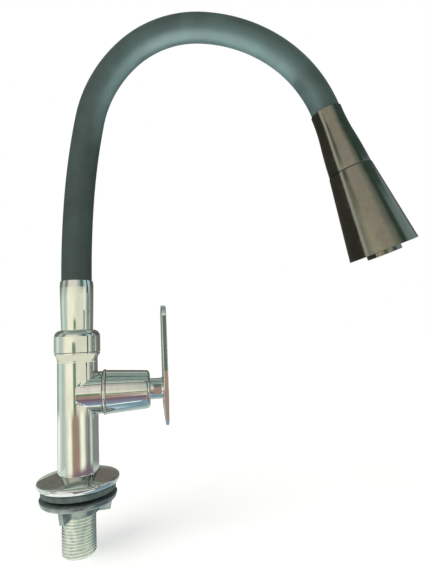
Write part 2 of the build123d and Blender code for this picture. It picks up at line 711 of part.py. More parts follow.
# Diverter plate: turns with the lower shell over the core's mouth
with BuildPart() as diverter_plate:
    with BuildSketch(head_plane(DIVERTER_AT)):
        Circle(cone_radius(DIVERTER_AT) - HEAD_WALL - SLIP_FIT)
        Circle(CORE_BORE_D / 4, mode=Mode.SUBTRACT)
        with PolarLocations(JOURNAL_D / 2, 6):
            Circle(CORE_BORE_D / 4, mode=Mode.SUBTRACT)
    extrude(amount=DIVERTER_T)
diverter_plate.part.label = "diverter_plate"
export_step(diverter_plate.part, "parts/diverter_plate.step")

# Face plate: closes the cone, with a ring of holes for the spray nubs
with BuildPart() as face_plate:
    with BuildSketch(head_plane(FACE_AT)):
        Circle(cone_radius(FACE_AT) - HEAD_WALL - SLIP_FIT)
        Circle(NOZZLE_D / 2 + SLIP_FIT, mode=Mode.SUBTRACT)
        with PolarLocations(FACE_HOLE_R, FACE_HOLES):
            Circle(FACE_HOLE_D / 2, mode=Mode.SUBTRACT)
    extrude(amount=FACE_T)
face_plate.part.label = "face_plate"
export_step(face_plate.part, "parts/face_plate.step")

# Spray nubs: one rubber skin behind the face plate, with a nub through each hole
with BuildPart() as spray_nubs:
    with BuildSketch(head_plane(FACE_AT - NUB_SKIN_T)):
        Circle(FACE_HOLE_R + FACE_HOLE_D)
        Circle(NOZZLE_D / 2 + SLIP_FIT, mode=Mode.SUBTRACT)
    extrude(amount=NUB_SKIN_T)
    with BuildSketch(head_plane(FACE_AT)):
        with PolarLocations(FACE_HOLE_R, FACE_HOLES):
            Circle(NUB_D / 2)
    extrude(amount=FACE_T + NUB_H)
    with BuildSketch(head_plane(FACE_AT - NUB_SKIN_T)):
        with PolarLocations(FACE_HOLE_R, FACE_HOLES):
            Circle(NUB_BORE_D / 2)
    extrude(amount=NUB_SKIN_T + FACE_T + NUB_H, mode=Mode.SUBTRACT)
spray_nubs.part.label = "spray_nubs"
export_step(spray_nubs.part, "parts/spray_nubs.step")

# Nozzle ring: the threaded barrel that stands out of the face and holds the aerator
with BuildPart() as nozzle_ring:
    turned(
        HEAD_SECTION,
        HEAD_AXIS,
        (
            (NOZZLE_END - NOZZLE_L, NOZZLE_BORE_D / 2 - AERATOR_LEDGE),
            (NOZZLE_END - NOZZLE_L, NOZZLE_D / 2),
            (NOZZLE_END, NOZZLE_D / 2),
            (NOZZLE_END, NOZZLE_BORE_D / 2),
            (AERATOR_AT, NOZZLE_BORE_D / 2),
            (AERATOR_AT, NOZZLE_BORE_D / 2 - AERATOR_LEDGE),
        ),
    )
nozzle_ring.part.label = "nozzle_ring"
export_step(nozzle_ring.part, "parts/nozzle_ring.step")

# Aerator: plastic honeycomb that fills the nozzle ring
with BuildPart() as aerator:
    with BuildSketch(head_plane(AERATOR_AT)):
        Circle(NOZZLE_BORE_D / 2 - SLIP_FIT)
        row_count = int(NOZZLE_BORE_D / AERATOR_CELL) + 1
        grid = HexLocations(AERATOR_CELL / 2, row_count, row_count).local_locations
        cells = [cell for cell in grid if cell.position.length < NOZZLE_BORE_D / 2 - AERATOR_RIM]
        with Locations(*cells):
            RegularPolygon((AERATOR_CELL - AERATOR_CELL_WALL) / 2, 6, major_radius=False, mode=Mode.SUBTRACT)
    extrude(amount=AERATOR_T)
aerator.part.label = "aerator"
export_step(aerator.part, "parts/aerator.step")

# Headwork body: brass insert with a hexagon and a slim barrel round the spindle
with BuildPart() as headwork_body:
    turned(
        VALVE_SECTION,
        VALVE_AXIS,
        (
            (SEAL_END, DISC_D / 2 + SLIP_FIT),
            (SEAL_END, CHAMBER_D / 2 - SLIP_FIT),
            (BRANCH_L, CHAMBER_D / 2 - SLIP_FIT),
            (BRANCH_L, BARREL_D / 2),
            (BARREL_END, BARREL_D / 2),
            (BARREL_END, SPINDLE_D / 2 + RUN_FIT),
            (FOOT_END + SLIP_FIT, SPINDLE_D / 2 + RUN_FIT),
            (FOOT_END + SLIP_FIT, DISC_D / 2 + SLIP_FIT),
        ),
    )
    with BuildSketch(valve_plane(BRANCH_L)):
        RegularPolygon(HEX_AF / 2, 6, major_radius=False)
        Circle(SPINDLE_D / 2 + RUN_FIT, mode=Mode.SUBTRACT)
    extrude(amount=HEX_T)
    with BuildSketch(valve_plane(FIXED_DISC_END)):
        Rectangle(FEED_D / 2, CHAMBER_D)
    extrude(amount=DISC_T, mode=Mode.SUBTRACT)
headwork_body.part.label = "headwork_body"
export_step(headwork_body.part, "parts/headwork_body.step")

# Seat seal: rubber ring between the body's seat and the fixed disc
with BuildPart() as seat_seal:
    with BuildSketch(valve_plane(CHAMBER_START)):
        Circle(DISC_D / 2)
        Circle(SEAT_D / 2, mode=Mode.SUBTRACT)
    extrude(amount=SEAL_T)
seat_seal.part.label = "seat_seal"
export_step(seat_seal.part, "parts/seat_seal.step")

# Fixed ceramic disc: two windows, one above the other
with BuildPart() as fixed_disc:
    with BuildSketch(valve_plane(SEAL_END)):
        Circle(DISC_D / 2)
        with PolarLocations(DISC_WINDOW_R, 2, start_angle=90):
            Circle(DISC_WINDOW_D / 2, mode=Mode.SUBTRACT)
    extrude(amount=DISC_T)
fixed_disc.part.label = "fixed_disc"
export_step(fixed_disc.part, "parts/fixed_disc.step")

# Moving ceramic disc: its open sides stand level, and turn upright to let the water by
with BuildPart() as moving_disc:
    with BuildSketch(valve_plane(FIXED_DISC_END)):
        Circle(DISC_D / 2)
        with PolarLocations(DISC_D / 2, 2):
            Circle(DISC_WINDOW_D, mode=Mode.SUBTRACT)
    extrude(amount=DISC_T)
moving_disc.part.label = "moving_disc"
export_step(moving_disc.part, "parts/moving_disc.step")

# Spindle: foot on the moving disc, shaft with ring and clip grooves, splined end
with BuildPart() as spindle:
    turned(
        VALVE_SECTION,
        VALVE_AXIS,
        (
            (MOVING_DISC_END, 0),
            (MOVING_DISC_END, SPINDLE_FOOT_D / 2),
            (FOOT_END, SPINDLE_FOOT_D / 2),
            (FOOT_END, SPINDLE_D / 2),
            (LEVER_NECK_START - SLIP_FIT, SPINDLE_D / 2),
            (LEVER_NECK_START - SLIP_FIT, SPLINE_D / 2),
            (SPINDLE_END, SPLINE_D / 2),
            (SPINDLE_END, 0),
        ),
    )
    for count in range(2):
        ring_at = HEX_END + STEM_RING_PITCH * (count + 1)
        with BuildSketch(valve_plane(ring_at - STEM_RING_D / 2 - SLIP_FIT)):
            Circle(SPINDLE_D / 2 + SLIP_FIT)
            Circle(SPINDLE_D / 2 - STEM_RING_D - SLIP_FIT, mode=Mode.SUBTRACT)
        extrude(amount=STEM_RING_D + 2 * SLIP_FIT, mode=Mode.SUBTRACT)
    with BuildSketch(valve_plane(BARREL_END + RUN_FIT)):
        Circle(SPINDLE_D / 2 + SLIP_FIT)
        Circle(SPINDLE_D / 2 - CIRCLIP_T, mode=Mode.SUBTRACT)
    extrude(amount=CIRCLIP_T + SLIP_FIT, mode=Mode.SUBTRACT)
    with BuildSketch(valve_plane(SPINDLE_END)):
        Circle(LEVER_SCREW_D / 2)
    extrude(amount=SCREW_END - LOOSE_FIT - SPINDLE_END, mode=Mode.SUBTRACT)
spindle.part.label = "spindle"
export_step(spindle.part, "parts/spindle.step")

# Stem rings: rubber seals in the spindle's grooves
with BuildPart() as stem_rings:
    for count in range(2):
        ring_at = HEX_END + STEM_RING_PITCH * (count + 1)
        o_ring(VALVE_SECTION, VALVE_AXIS, (ring_at, (SPINDLE_D - STEM_RING_D) / 2), STEM_RING_D)
stem_rings.part.label = "stem_rings"
export_step(stem_rings.part, "parts/stem_rings.step")

# Spindle clip: split spring ring over the barrel's end
with BuildPart() as spindle_clip:
    with BuildSketch(valve_plane(BARREL_END + RUN_FIT)):
        Circle(CIRCLIP_D / 2)
        Circle(SPINDLE_D / 2 - CIRCLIP_T + SLIP_FIT, mode=Mode.SUBTRACT)
        with Locations((0, -CIRCLIP_D / 2)):
            Rectangle(3 * CIRCLIP_T, CIRCLIP_D, mode=Mode.SUBTRACT)
    extrude(amount=CIRCLIP_T)
spindle_clip.part.label = "spindle_clip"
export_step(spindle_clip.part, "parts/spindle_clip.step")

# Bead ring: bright trim between the branch and the cover
with BuildPart() as bead_ring:
    with BuildSketch(valve_plane(BEAD_START)):
        Circle(BEAD_D / 2)
        RegularPolygon(HEX_AF / 2 + SLIP_FIT, 6, major_radius=False, mode=Mode.SUBTRACT)
    extrude(amount=BEAD_T)
    fillet(bead_ring.edges().filter_by(GeomType.CIRCLE), 0.45 * BEAD_T)
bead_ring.part.label = "bead_ring"
export_step(bead_ring.part, "parts/bead_ring.step")

# Bonnet cover: tapered shell over the headwork, its nose rounded down to the lever's neck
with BuildPart() as bonnet_cover:
    turned(
        VALVE_SECTION,
        VALVE_AXIS,
        (
            (COVER_START, COVER_FOOT_D / 2 - COVER_WALL),
            (COVER_START, COVER_FOOT_D / 2),
            (COVER_END, COVER_NOSE_D / 2),
            (COVER_END, LEVER_NECK_D / 2 + LOOSE_FIT),
            (COVER_END - COVER_WALL, LEVER_NECK_D / 2 + LOOSE_FIT),
            (COVER_END - COVER_WALL, COVER_NOSE_D / 2 - COVER_WALL - COVER_ROUND / 2),
            (COVER_END - COVER_WALL - COVER_ROUND / 2, COVER_NOSE_D / 2 - COVER_WALL),
            (BARREL_END - COVER_WALL, COVER_NOSE_D / 2 - COVER_WALL),
            (BARREL_END - COVER_WALL, BARREL_D / 2 + SLIP_FIT),
            (BARREL_END - 3 * COVER_WALL, BARREL_D / 2 + SLIP_FIT),
            (BARREL_END - 3 * COVER_WALL, COVER_NOSE_D / 2 - COVER_WALL),
        ),
    )
    nose_edges = bonnet_cover.edges().filter_by(GeomType.CIRCLE).sort_by(VALVE_AXIS)[-2:]
    fillet(nose_edges.sort_by(SortBy.RADIUS)[-1], min(COVER_ROUND, 0.45 * (COVER_NOSE_D - LEVER_NECK_D) / 2))
bonnet_cover.part.label = "bonnet_cover"
export_step(bonnet_cover.part, "parts/bonnet_cover.step")

# Lever: flat drop-shaped plate on a round neck that fits the spindle's splined end
with BuildPart() as lever:
    with BuildSketch(valve_plane(PLATE_START)):
        Circle(PLATE_HUB_R)
        with Locations((0, PLATE_UP - PLATE_TOP_R)):
            Circle(PLATE_TOP_R)
        with Locations((0, PLATE_TIP_R - PLATE_DOWN)):
            Circle(PLATE_TIP_R)
        make_hull()
    extrude(amount=PLATE_T)
    fillet(lever.faces().sort_by(VALVE_AXIS)[-1].edges(), PLATE_ROUND)
    with BuildSketch(VALVE_SECTION):
        with BuildLine():
            Polyline(
                (PLATE_START, -PLATE_DOWN + TIP_BEVEL_H),
                (PLATE_START + TIP_BEVEL_T, -PLATE_DOWN),
                (PLATE_START, -PLATE_DOWN),
                close=True,
            )
        make_face()
    extrude(amount=PLATE_HUB_R, both=True, mode=Mode.SUBTRACT)
    with BuildSketch(valve_plane(PLATE_START)):
        Circle(LEVER_NECK_D / 2)
    extrude(amount=LEVER_NECK_START - PLATE_START)
    with BuildSketch(valve_plane(LEVER_NECK_START)):
        Circle(SPLINE_D / 2 + SLIP_FIT)
    extrude(amount=SPINDLE_END + SLIP_FIT - LEVER_NECK_START, mode=Mode.SUBTRACT)
    with BuildSketch(valve_plane(PLATE_START + PLATE_T)):
        Circle(CAP_D / 2 + SLIP_FIT)
    extrude(amount=-(CAP_T + LEVER_SCREW_HEAD_T), mode=Mode.SUBTRACT)
    with BuildSketch(valve_plane(PLATE_START + PLATE_T)):
        Circle(LEVER_SCREW_D / 2 + SLIP_FIT)
    extrude(amount=-(PLATE_START + PLATE_T - SPINDLE_END), mode=Mode.SUBTRACT)
lever.part.label = "lever"
export_step(lever.part, "parts/lever.step")

# Lever screw: cheese head with a cross slot, into the spindle's end
with BuildPart() as lever_screw:
    with BuildSketch(valve_plane(HEAD_SEAT)):
        Circle(LEVER_SCREW_HEAD_D / 2)
    extrude(amount=LEVER_SCREW_HEAD_T)
    with BuildSketch(valve_plane(HEAD_SEAT)):
        Circle(LEVER_SCREW_D / 2 - SLIP_FIT)
    extrude(amount=-LEVER_SCREW_L)
    with BuildSketch(valve_plane(HEAD_SEAT + LEVER_SCREW_HEAD_T)):
        Rectangle(LEVER_SCREW_D, CIRCLIP_T)
        Rectangle(CIRCLIP_T, LEVER_SCREW_D)
    extrude(amount=-CIRCLIP_T, mode=Mode.SUBTRACT)
lever_screw.part.label = "lever_screw"
export_step(lever_screw.part, "parts/lever_screw.step")

# Screw cap: plain disc pressed over the screw, level with the plate
with BuildPart() as screw_cap:
    with BuildSketch(valve_plane(HEAD_SEAT + LEVER_SCREW_HEAD_T)):
        Circle(CAP_D / 2)
    extrude(amount=CAP_T)
screw_cap.part.label = "screw_cap"
export_step(screw_cap.part, "parts/screw_cap.step")
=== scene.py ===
import json
from math import asin, atan2, ceil, cos, pi, radians, sin, sqrt, tan

import bmesh
import bpy
from mathutils import Matrix, Vector


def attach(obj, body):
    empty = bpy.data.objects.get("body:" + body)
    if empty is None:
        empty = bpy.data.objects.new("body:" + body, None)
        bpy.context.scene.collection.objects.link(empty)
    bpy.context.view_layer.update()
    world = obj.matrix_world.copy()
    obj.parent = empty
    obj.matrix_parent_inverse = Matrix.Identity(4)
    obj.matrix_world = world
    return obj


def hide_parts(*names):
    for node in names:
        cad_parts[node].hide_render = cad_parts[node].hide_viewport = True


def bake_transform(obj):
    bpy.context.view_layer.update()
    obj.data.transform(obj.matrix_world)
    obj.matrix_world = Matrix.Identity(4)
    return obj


# Flexible kitchen tap: chromed body and lever, silicone hose, dark plated spray head.
# Sizes are in millimetres, and a piece's place turns them to metres in the tap's frame.
# A point of an outline is (radius, height) about the piece's own axis; a span is (low, high).

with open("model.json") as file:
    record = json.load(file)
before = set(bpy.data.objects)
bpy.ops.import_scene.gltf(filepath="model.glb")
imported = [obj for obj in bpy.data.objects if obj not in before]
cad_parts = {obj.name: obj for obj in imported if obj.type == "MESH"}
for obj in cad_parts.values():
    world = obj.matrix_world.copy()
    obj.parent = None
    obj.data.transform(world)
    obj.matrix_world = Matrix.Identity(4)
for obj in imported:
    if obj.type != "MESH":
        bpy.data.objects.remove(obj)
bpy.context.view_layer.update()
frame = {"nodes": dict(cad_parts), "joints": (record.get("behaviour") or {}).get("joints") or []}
scene = bpy.context.scene

MM = 0.001

# Camera, fitted to the photograph: a full frame on end with a 27 mm lens, held low and a little askew
IMAGE_H = 574
SENSOR = 36.0
FOCAL_PX = 432.6
CAMERA_AT = (99.1, -284.6, 93.3)
CAMERA_YAW = -1.36
CAMERA_PITCH = 6.45
CAMERA_ROLL = -2.66

# Floor, under the shank's end
FLOOR_Z = -37.7
FLOOR_SIZE = 12000.0
FLOOR_COLOUR = "#ececea"
FLOOR_LIFT = 0.42
WHITE = "#ffffff"

# Light: the suns and the world together show a colour about as it is written
WORLD_LIGHT = 0.45
WORLD_COLOUR = "#f7f9f8"
# Suns: bearing, height and width in degrees, strength and colour
KEY_SUN = (-42, 46, 50, 1.35, "#fffdf8")
FILL_SUN = (55, 12, 60, 0.5, "#f6faff")
COUNTER_SUN = (-35, 30, 40, 1.6, "#fffdf8")
# Lamp under the arch
GLOW_AT = (100.0, -15.0, 225.0)
GLOW_SIZE = (70.0, 140.0)
GLOW_POWER = 0.24
GLOW_COLOUR = "#dcf0f2"
# Dome of reflector cards, flattened just over the floor; its low cards change behind the tap
CARD_GLOW = 1.22
DOME_R = 2500.0
DOME_CENTRE = (20.0, 0.0, 60.0)
DOME_SEGMENTS = (64, 48)
DOME_FLOOR = 0.1
DOME_BACK = (20.0, 80.0)

# Meshes: segments round an axis, lengths of the rows along it, and how near to each other points are one
LARGE_ROUND = 144
MAIN_ROUND = 128
SMALL_ROUND = 96
THREAD_ROUND = 72
HOSE_ROUND = 72
CUTTER_ROUND = 64
NUB_ROUND = 16
ROW = 4.0
FINE_ROW = 1.6
ONE_ROW = 60.0
FOOT_ROWS = 8
WELD = 0.001
BOOLEAN_WELD = 0.0005
THREAD_WELD = 0.01
OUTLINE_WELD = 0.02
ON_PLANE = 0.0001

# Rounded edges; play between pieces; how far a cutter reaches past the face that it opens
EDGE = 0.3
FINE_EDGE = 0.25
SMALL_EDGE = 0.2
FERRULE_EDGE = 0.12
BOLD_EDGE = 0.35
GASKET_EDGE = 0.9
BEAD_EDGE = 0.85
FIT = 0.1
RUNNING_FIT = 0.06
NECK_GAP = 0.3
PAST = 1.0

# Thread, 14 turns to the inch, and the pieces on it
THREAD_PITCH = 25.4 / 14
THREAD_R = 10.4775
THREAD_ROOT_R = 9.32
CREST_FLAT = 0.36
THREAD_ANGLE = 55.0
THREAD_CHAMFER = 1.3
THREAD_RUN_IN = 1.5
THREAD_SPARE = 0.2
BLANK_SPARE = 0.5
SHANK_FOOT = -37.5
SHANK_TOP = 25.1
UPPER_SHANK_R = THREAD_R - 0.3
WATERWAY_R = 6.5
THREAD_TOP = -1.0
HOLE_R = 10.9
GASKET_R = 23.0
GASKET_T = 3.8
WASHER_R = 23.8
WASHER_TOP = -2.05
WASHER_T = 0.7
NUT_R = 23.3
NUT_T = 3.0
NUT_BEVEL = 1.1
NUT_TOP = WASHER_TOP - WASHER_T
NUT_UNDER = NUT_TOP - NUT_T
NUT_BORE_R = 10.54
NUT_BOSS_R = 12.5
NUT_BOSS_H = 6.8
FIN_COUNT = 3
FIN_ANGLE = 18.0
FIN_R = 20.8
FIN_FOOT_R = 19.2
FIN_ROOT_R = 11.5
FIN_DROP = 7.8
FIN_T = 3.2

# Base flange and tee body
FLANGE_R = 25.45
FLANGE_FOOT_R = 23.5
FLANGE_RIM_Z = 8.1
FLANGE_TOP_Z = 11.7
FLANGE_CURL = 0.52
FLANGE_SAG = 0.2
FLANGE_CROWN = 0.2
FLANGE_EDGE = 0.9
FLANGE_EDGE_LIFT = 0.2
FLANGE_LIP = 0.42
BODY_R = 12.8
BODY_FOOT_Z = 9.1
BODY_RIM_R = 14.4
BODY_RIM_Z = 86.7
BODY_FLARE = ((BODY_R, 81.6), (BODY_R + 0.42, 83.9), (BODY_RIM_R, 85.5))
NECK_R = 12.4
NECK_TOP_Z = 94.1
SPOUT_BORE_R = 8.8
SPOUT_BORE_FLOOR = 74.1
SHANK_SOCKET_R = 10.3
FEED_BORE_R = 4.0
VALVE_Z = 60.2
BRANCH_R = 13.6
BRANCH_END = 15.9
CHAMBER_R = 10.2
CHAMBER_START = 6.0
SEAT_BORE_R = 4.5

# Spout nut and ferrule
SPOUT_NUT_R = 14.6
SPOUT_NUT_FOOT = 86.95
SPOUT_NUT_TOP = 101.3
SPOUT_NUT_ROOF = 97.7
SPOUT_NUT_ROUND = 4.4
FERRULE_FOOT_R = 10.1
FERRULE_BARREL = (10.5, 116.0)
FERRULE_TOP = (10.75, 129.0)
FERRULE_LIP = (10.65, 131.8)
FERRULE_MOUTH_R = 10.45
FERRULE_MOUTH_Z = 133.6
FERRULE_FLANGE_R = 12.1
FERRULE_FLANGE_Z = (94.7, 97.1)
FERRULE_STEM_R = 8.74
FERRULE_STEM_FOOT = 76.1
FERRULE_BORE_R = 4.5
CUP_FLOOR = 115.4
CUP_R = 10.13
NIPPLE_R = 6.1
NIPPLE_FOOT = 107.8

# Valve branch, along its own axis
BEAD_R = 14.7
BEAD_BORE_R = 12.45
BEAD_SPAN = (16.2, 18.2)
COVER_SPAN = (18.4, 46.5)
COVER_FOOT_R = 14.15
COVER_NOSE_R = 12.45
COVER_WALL = 1.3
COVER_ROUND = 2.5
COVER_DRAFT = 0.1
COVER_INNER_ROUND = 1.5
COVER_WEB = (34.1, 36.7)
COVER_WEB_R = 8.1
LEVER_NECK_R = 6.9
LEVER_NECK_START = 40.5
NECK_FLARE = ((0.0, -1.2), (0.5, -0.4), (1.0, 0.3))
LEVER_BORE_R = 3.7
SPINDLE_END = 51.6
PLATE_START = 55.2
PLATE_T = 3.2
PLATE_CIRCLES = ((47.9, 7.6), (0.0, 10.5), (-18.3, 6.4))
PLATE_ROUND = 0.55
TIP_BEVEL = (13.0, 1.3)
CAP_R = 4.5
CAP_T = 0.9
CAP_SEAT = 2.1
SCREW_HOLE_R = 2.1

# Hose: equal links, each an arc that starts where the one before it ends
LINK_LENGTH = 56.7
LINK_TURNS = (4.8, 6.8, 37.1, 47.7, 32.5, 32.5)
LAST_LINK_TWIST = 7.0
MID_LINK = 0.5
HOSE_START_Z = 118.0
SLEEVE_R = 9.81
SLEEVE_BORE_R = 7.8
WATER_TUBE_R = 4.8
WATER_TUBE_BORE_R = 3.4
BEND_REACH = 22.0

# Spray head, along its own axis from the hose
HEAD_MOUTH = (10.65, 0.0)
HEAD_HOLLOW = 0.4
HEAD_WAIST = (11.95, 20.0)
HEAD_SWELL = 0.24
HEAD_JOINT = (14.6, 44.0)
HEAD_JOINT_GAP = 0.3
HEAD_SOCKET_R = 7.6
CONE_MOUTH_R = 14.95
HEAD_RIM = (23.25, 103.3)
HEAD_WALL = 1.7
HEAD_WEB = (3.2, 14.0)
CORE_R = 10.0
JOURNAL_R = 8.5
BEARING_END = 57.0
FACE_AT = 96.9
FACE_T = 3.0
FACE_HOLES = 20
FACE_HOLE_R = 15.6
NUB_R = 1.2
NUB_PROUD = 2.0
NUB_BORE_R = 0.45
NUB_ROOT = 0.1
NUB_TAPER = (0.35, 1.2)
SKIN_T = 0.8
SKIN_BAND = 2.6
NOZZLE_R = 11.7
NOZZLE_BORE_R = 10.0
NOZZLE_SPAN = (93.3, 106.3)
NOZZLE_LEDGE = (9.0, 99.3)


# Places
def place_along(origin, axis, side):
    """A place whose Z runs along the axis and whose X leans to the side; the origin is in millimetres."""
    z = Vector(axis).normalized()
    x = (Vector(side) - z * Vector(side).dot(z)).normalized()
    turn = Matrix((x, z.cross(x), z)).transposed().to_4x4()
    return Matrix.Translation(Vector(origin) * MM) @ turn @ Matrix.Scale(MM, 4)


UPRIGHT = Matrix.Scale(MM, 4)
lever_joint = next(joint for joint in frame["joints"] if joint["name"] == "lever_turn")
VALVE = place_along(Vector(lever_joint["pos_m"]) / MM, lever_joint["axis"], (0, 0, 1))


def link_frames():
    """(origin, along, across) where each link of the hose starts, and where the last one ends."""
    origin, along, across = Vector((0, 0, FERRULE_MOUTH_Z)), Vector((0, 0, 1)), Vector((1, 0, 0))
    frames = []
    for number, turn in enumerate(LINK_TURNS):
        if number == len(LINK_TURNS) - 1:
            across = Matrix.Rotation(radians(LAST_LINK_TWIST), 3, along) @ across
        frames.append((origin, along, across))
        origin, along, across = further(origin, along, across, turn, 1.0)
    return frames + [(origin, along, across)]


def further(origin, along, across, turn, share):
    """The frame this share of a link further on, on an arc of that turn in degrees."""
    radius = LINK_LENGTH / radians(turn)
    c, s = cos(radians(turn * share)), sin(radians(turn * share))
    return (
        origin + across * radius * (1 - c) + along * radius * s,
        along * c + across * s,
        across * c - along * s,
    )


LINKS = link_frames()
HEAD = place_along(*LINKS[-1])


# Mesh helpers
def arc(start, middle, end, steps=10):
    """Points on the circle through three points, from start to end."""
    (ax, ay), (bx, by), (cx, cy) = start, middle, end
    d = 2 * (ax * (by - cy) + bx * (cy - ay) + cx * (ay - by))
    a2, b2, c2 = ax * ax + ay * ay, bx * bx + by * by, cx * cx + cy * cy
    ox = (a2 * (by - cy) + b2 * (cy - ay) + c2 * (ay - by)) / d
    oy = (a2 * (cx - bx) + b2 * (ax - cx) + c2 * (bx - ax)) / d
    radius = sqrt((ax - ox) ** 2 + (ay - oy) ** 2)
    first, last = atan2(ay - oy, ax - ox), atan2(cy - oy, cx - ox)
    through = atan2(by - oy, bx - ox)
    turn = (last - first) % (2 * pi)
    if (through - first) % (2 * pi) > turn:
        turn -= 2 * pi
    angles = [first + turn * i / steps for i in range(steps + 1)]
    return [(ox + radius * cos(angle), oy + radius * sin(angle)) for angle in angles]


def midway(first, second, out=0.0, up=0.0):
    """The point halfway between two, moved outwards and up."""
    return (0.5 * (first[0] + second[0]) + out, 0.5 * (first[1] + second[1]) + up)


def dip(rounding):
    """How far the middle of a rounded corner lies inside each side of the square one."""
    return rounding * (1 - cos(pi / 4))


def everything(bm):
    """All the parts of a bmesh."""
    return bm.verts[:] + bm.edges[:] + bm.faces[:]


def turned(outline, rounding=0.0, segments=SMALL_ROUND, row=ROW):
    """A solid of revolution about Z from an outline of (radius, height), its sharp edges rounded."""
    bm = bmesh.new()
    closed = outline[0][0] > 0 or outline[-1][0] > 0
    corners = [bm.verts.new((r, 0, z)) for r, z in outline]
    pairs = list(zip(corners, corners[1:] + (corners[:1] if closed else [])))
    for edge in [bm.edges.new(pair) for pair in pairs]:
        cuts = ceil(edge.calc_length() / row) - 1
        if cuts > 0:
            bmesh.ops.subdivide_edges(bm, edges=[edge], cuts=cuts)
    bmesh.ops.spin(
        bm, geom=bm.verts[:] + bm.edges[:], cent=(0, 0, 0), axis=(0, 0, 1), dvec=(0, 0, 0),
        angle=2 * pi, steps=segments, use_merge=True,
    )
    bmesh.ops.remove_doubles(bm, verts=bm.verts, dist=WELD)
    bmesh.ops.recalc_face_normals(bm, faces=bm.faces)
    if rounding:
        round_edges(bm, rounding)
    return bm


def round_edges(bm, width, steps=3, steepest=28.0):
    """Rounds every edge whose faces meet at more than the steepest angle."""
    sharp = [e for e in bm.edges if e.is_manifold and e.calc_face_angle() > radians(steepest)]
    bmesh.ops.bevel(
        bm, geom=sharp, offset=width, offset_type="OFFSET", segments=steps, profile=0.5,
        affect="EDGES", material=-1, clamp_overlap=True,
    )


def ring(inner, outer, low, high, rounding=0.0, segments=SMALL_ROUND, row=ROW):
    """A flat-ended ring about Z, or a solid rod where the inner radius is 0."""
    return turned([(inner, low), (outer, low), (outer, high), (inner, high)], rounding, segments, row)


def slab(corners, move):
    """A flat face through the corners, drawn out by the move."""
    bm = bmesh.new()
    bm.faces.new([bm.verts.new(corner) for corner in corners])
    bmesh.ops.remove_doubles(bm, verts=bm.verts, dist=OUTLINE_WELD)
    grown = bmesh.ops.extrude_face_region(bm, geom=bm.faces[:])["geom"]
    moved = [part for part in grown if isinstance(part, bmesh.types.BMVert)]
    bmesh.ops.translate(bm, vec=move, verts=moved)
    return bm


def loose_object(bm, place=None):
    """A mesh object from a bmesh, not yet a piece of the tap."""
    if place:
        bm.transform(place)
    mesh = bpy.data.meshes.new("loose")
    bm.to_mesh(mesh)
    bm.free()
    made = bpy.data.objects.new("loose", mesh)
    scene.collection.objects.link(made)
    return made


def combined(base, *others):
    """The base object after (operation, object) booleans, as a bmesh; the objects are used up."""
    for operation, other in others:
        step = base.modifiers.new(operation.lower(), "BOOLEAN")
        step.operation = operation
        step.solver = "EXACT"
        step.object = other
    graph = bpy.context.evaluated_depsgraph_get()
    result = bpy.data.meshes.new_from_object(base.evaluated_get(graph))
    bm = bmesh.new()
    bm.from_mesh(result)
    for used in [base] + [other for _, other in others]:
        bpy.data.objects.remove(used)
    bmesh.ops.remove_doubles(bm, verts=bm.verts, dist=BOOLEAN_WELD)
    bmesh.ops.recalc_face_normals(bm, faces=bm.faces)
    return bm


def piece(name, bm, place, material, body, nodes=(), crease=32.0, flatness=50):
    """Makes the bmesh a finished piece that rides on a body and stands for these nodes."""
    bm.transform(place)
    mesh = bpy.data.meshes.new(name)
    bm.to_mesh(mesh)
    bm.free()
    mesh.shade_smooth()
    mesh.set_sharp_from_angle(angle=radians(crease))
    mesh.materials.append(material)
    made = bpy.data.objects.new(name, mesh)
    scene.collection.objects.link(made)
    if isinstance(body, str):
        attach(made, body)
        even = made.modifiers.new("even_shading", "WEIGHTED_NORMAL")
        even.keep_sharp = True
        even.weight = flatness
    if nodes:
        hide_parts(*nodes)
    return made


# Material helpers
def linear(hex_colour):
    """An sRGB hex colour as linear RGBA."""
    channels = [int(hex_colour[i:i + 2], 16) / 255 for i in (1, 3, 5)]
    return [c / 12.92 if c <= 0.04045 else ((c + 0.055) / 1.055) ** 2.4 for c in channels] + [1.0]


def add(tree, kind, settings=None, stops=(), **inputs):
    """Adds a node, sets its properties and colour stops, and sets or links its inputs by name or number.

    A node that is given as an input stands for its first output.
    """
    made = tree.nodes.new(kind)
    for key, value in (settings or {}).items():
        setattr(made, key, value)
    for _ in stops[2:]:
        made.color_ramp.elements.new(0.5)
    for number, (position, colour) in enumerate(stops):
        made.color_ramp.elements[number].position = position
        made.color_ramp.elements[number].color = linear(colour)
    for key, value in inputs.items():
        socket = made.inputs[int(key[1:])] if key[1:].isdigit() else made.inputs[key.replace("_", " ")]
        if isinstance(value, bpy.types.Node):
            value = value.outputs[0]
        if isinstance(value, bpy.types.NodeSocket):
            tree.links.new(value, socket)
        else:
            socket.default_value = value
    return made


hose_only = bpy.data.collections.new("hose_only")
under_worktop = bpy.data.collections.new("under_worktop")


def new_material(name):
    """An empty material and its nodes."""
    made = bpy.data.materials.new(name)
    made.use_nodes = True
    made.node_tree.nodes.clear()
    return made, made.node_tree


def finished(made, colour, roughness, bump, **inputs):
    """The material, ended in its shader and output."""
    tree = made.node_tree
    shader = add(tree, "ShaderNodeBsdfPrincipled", Base_Color=colour, Roughness=roughness,
                 Normal=bump, **inputs)
    add(tree, "ShaderNodeOutputMaterial", Surface=shader)
    return made


def place_of(tree, squeeze=1.0):
    """Object coordinates in millimetres; under 1 the squeeze draws a pattern out in height."""
    coordinates = add(tree, "ShaderNodeTexCoord").outputs["Object"]
    scale = (1 / MM, 1 / MM, squeeze / MM)
    return add(tree, "ShaderNodeMapping", Vector=coordinates, Scale=scale)


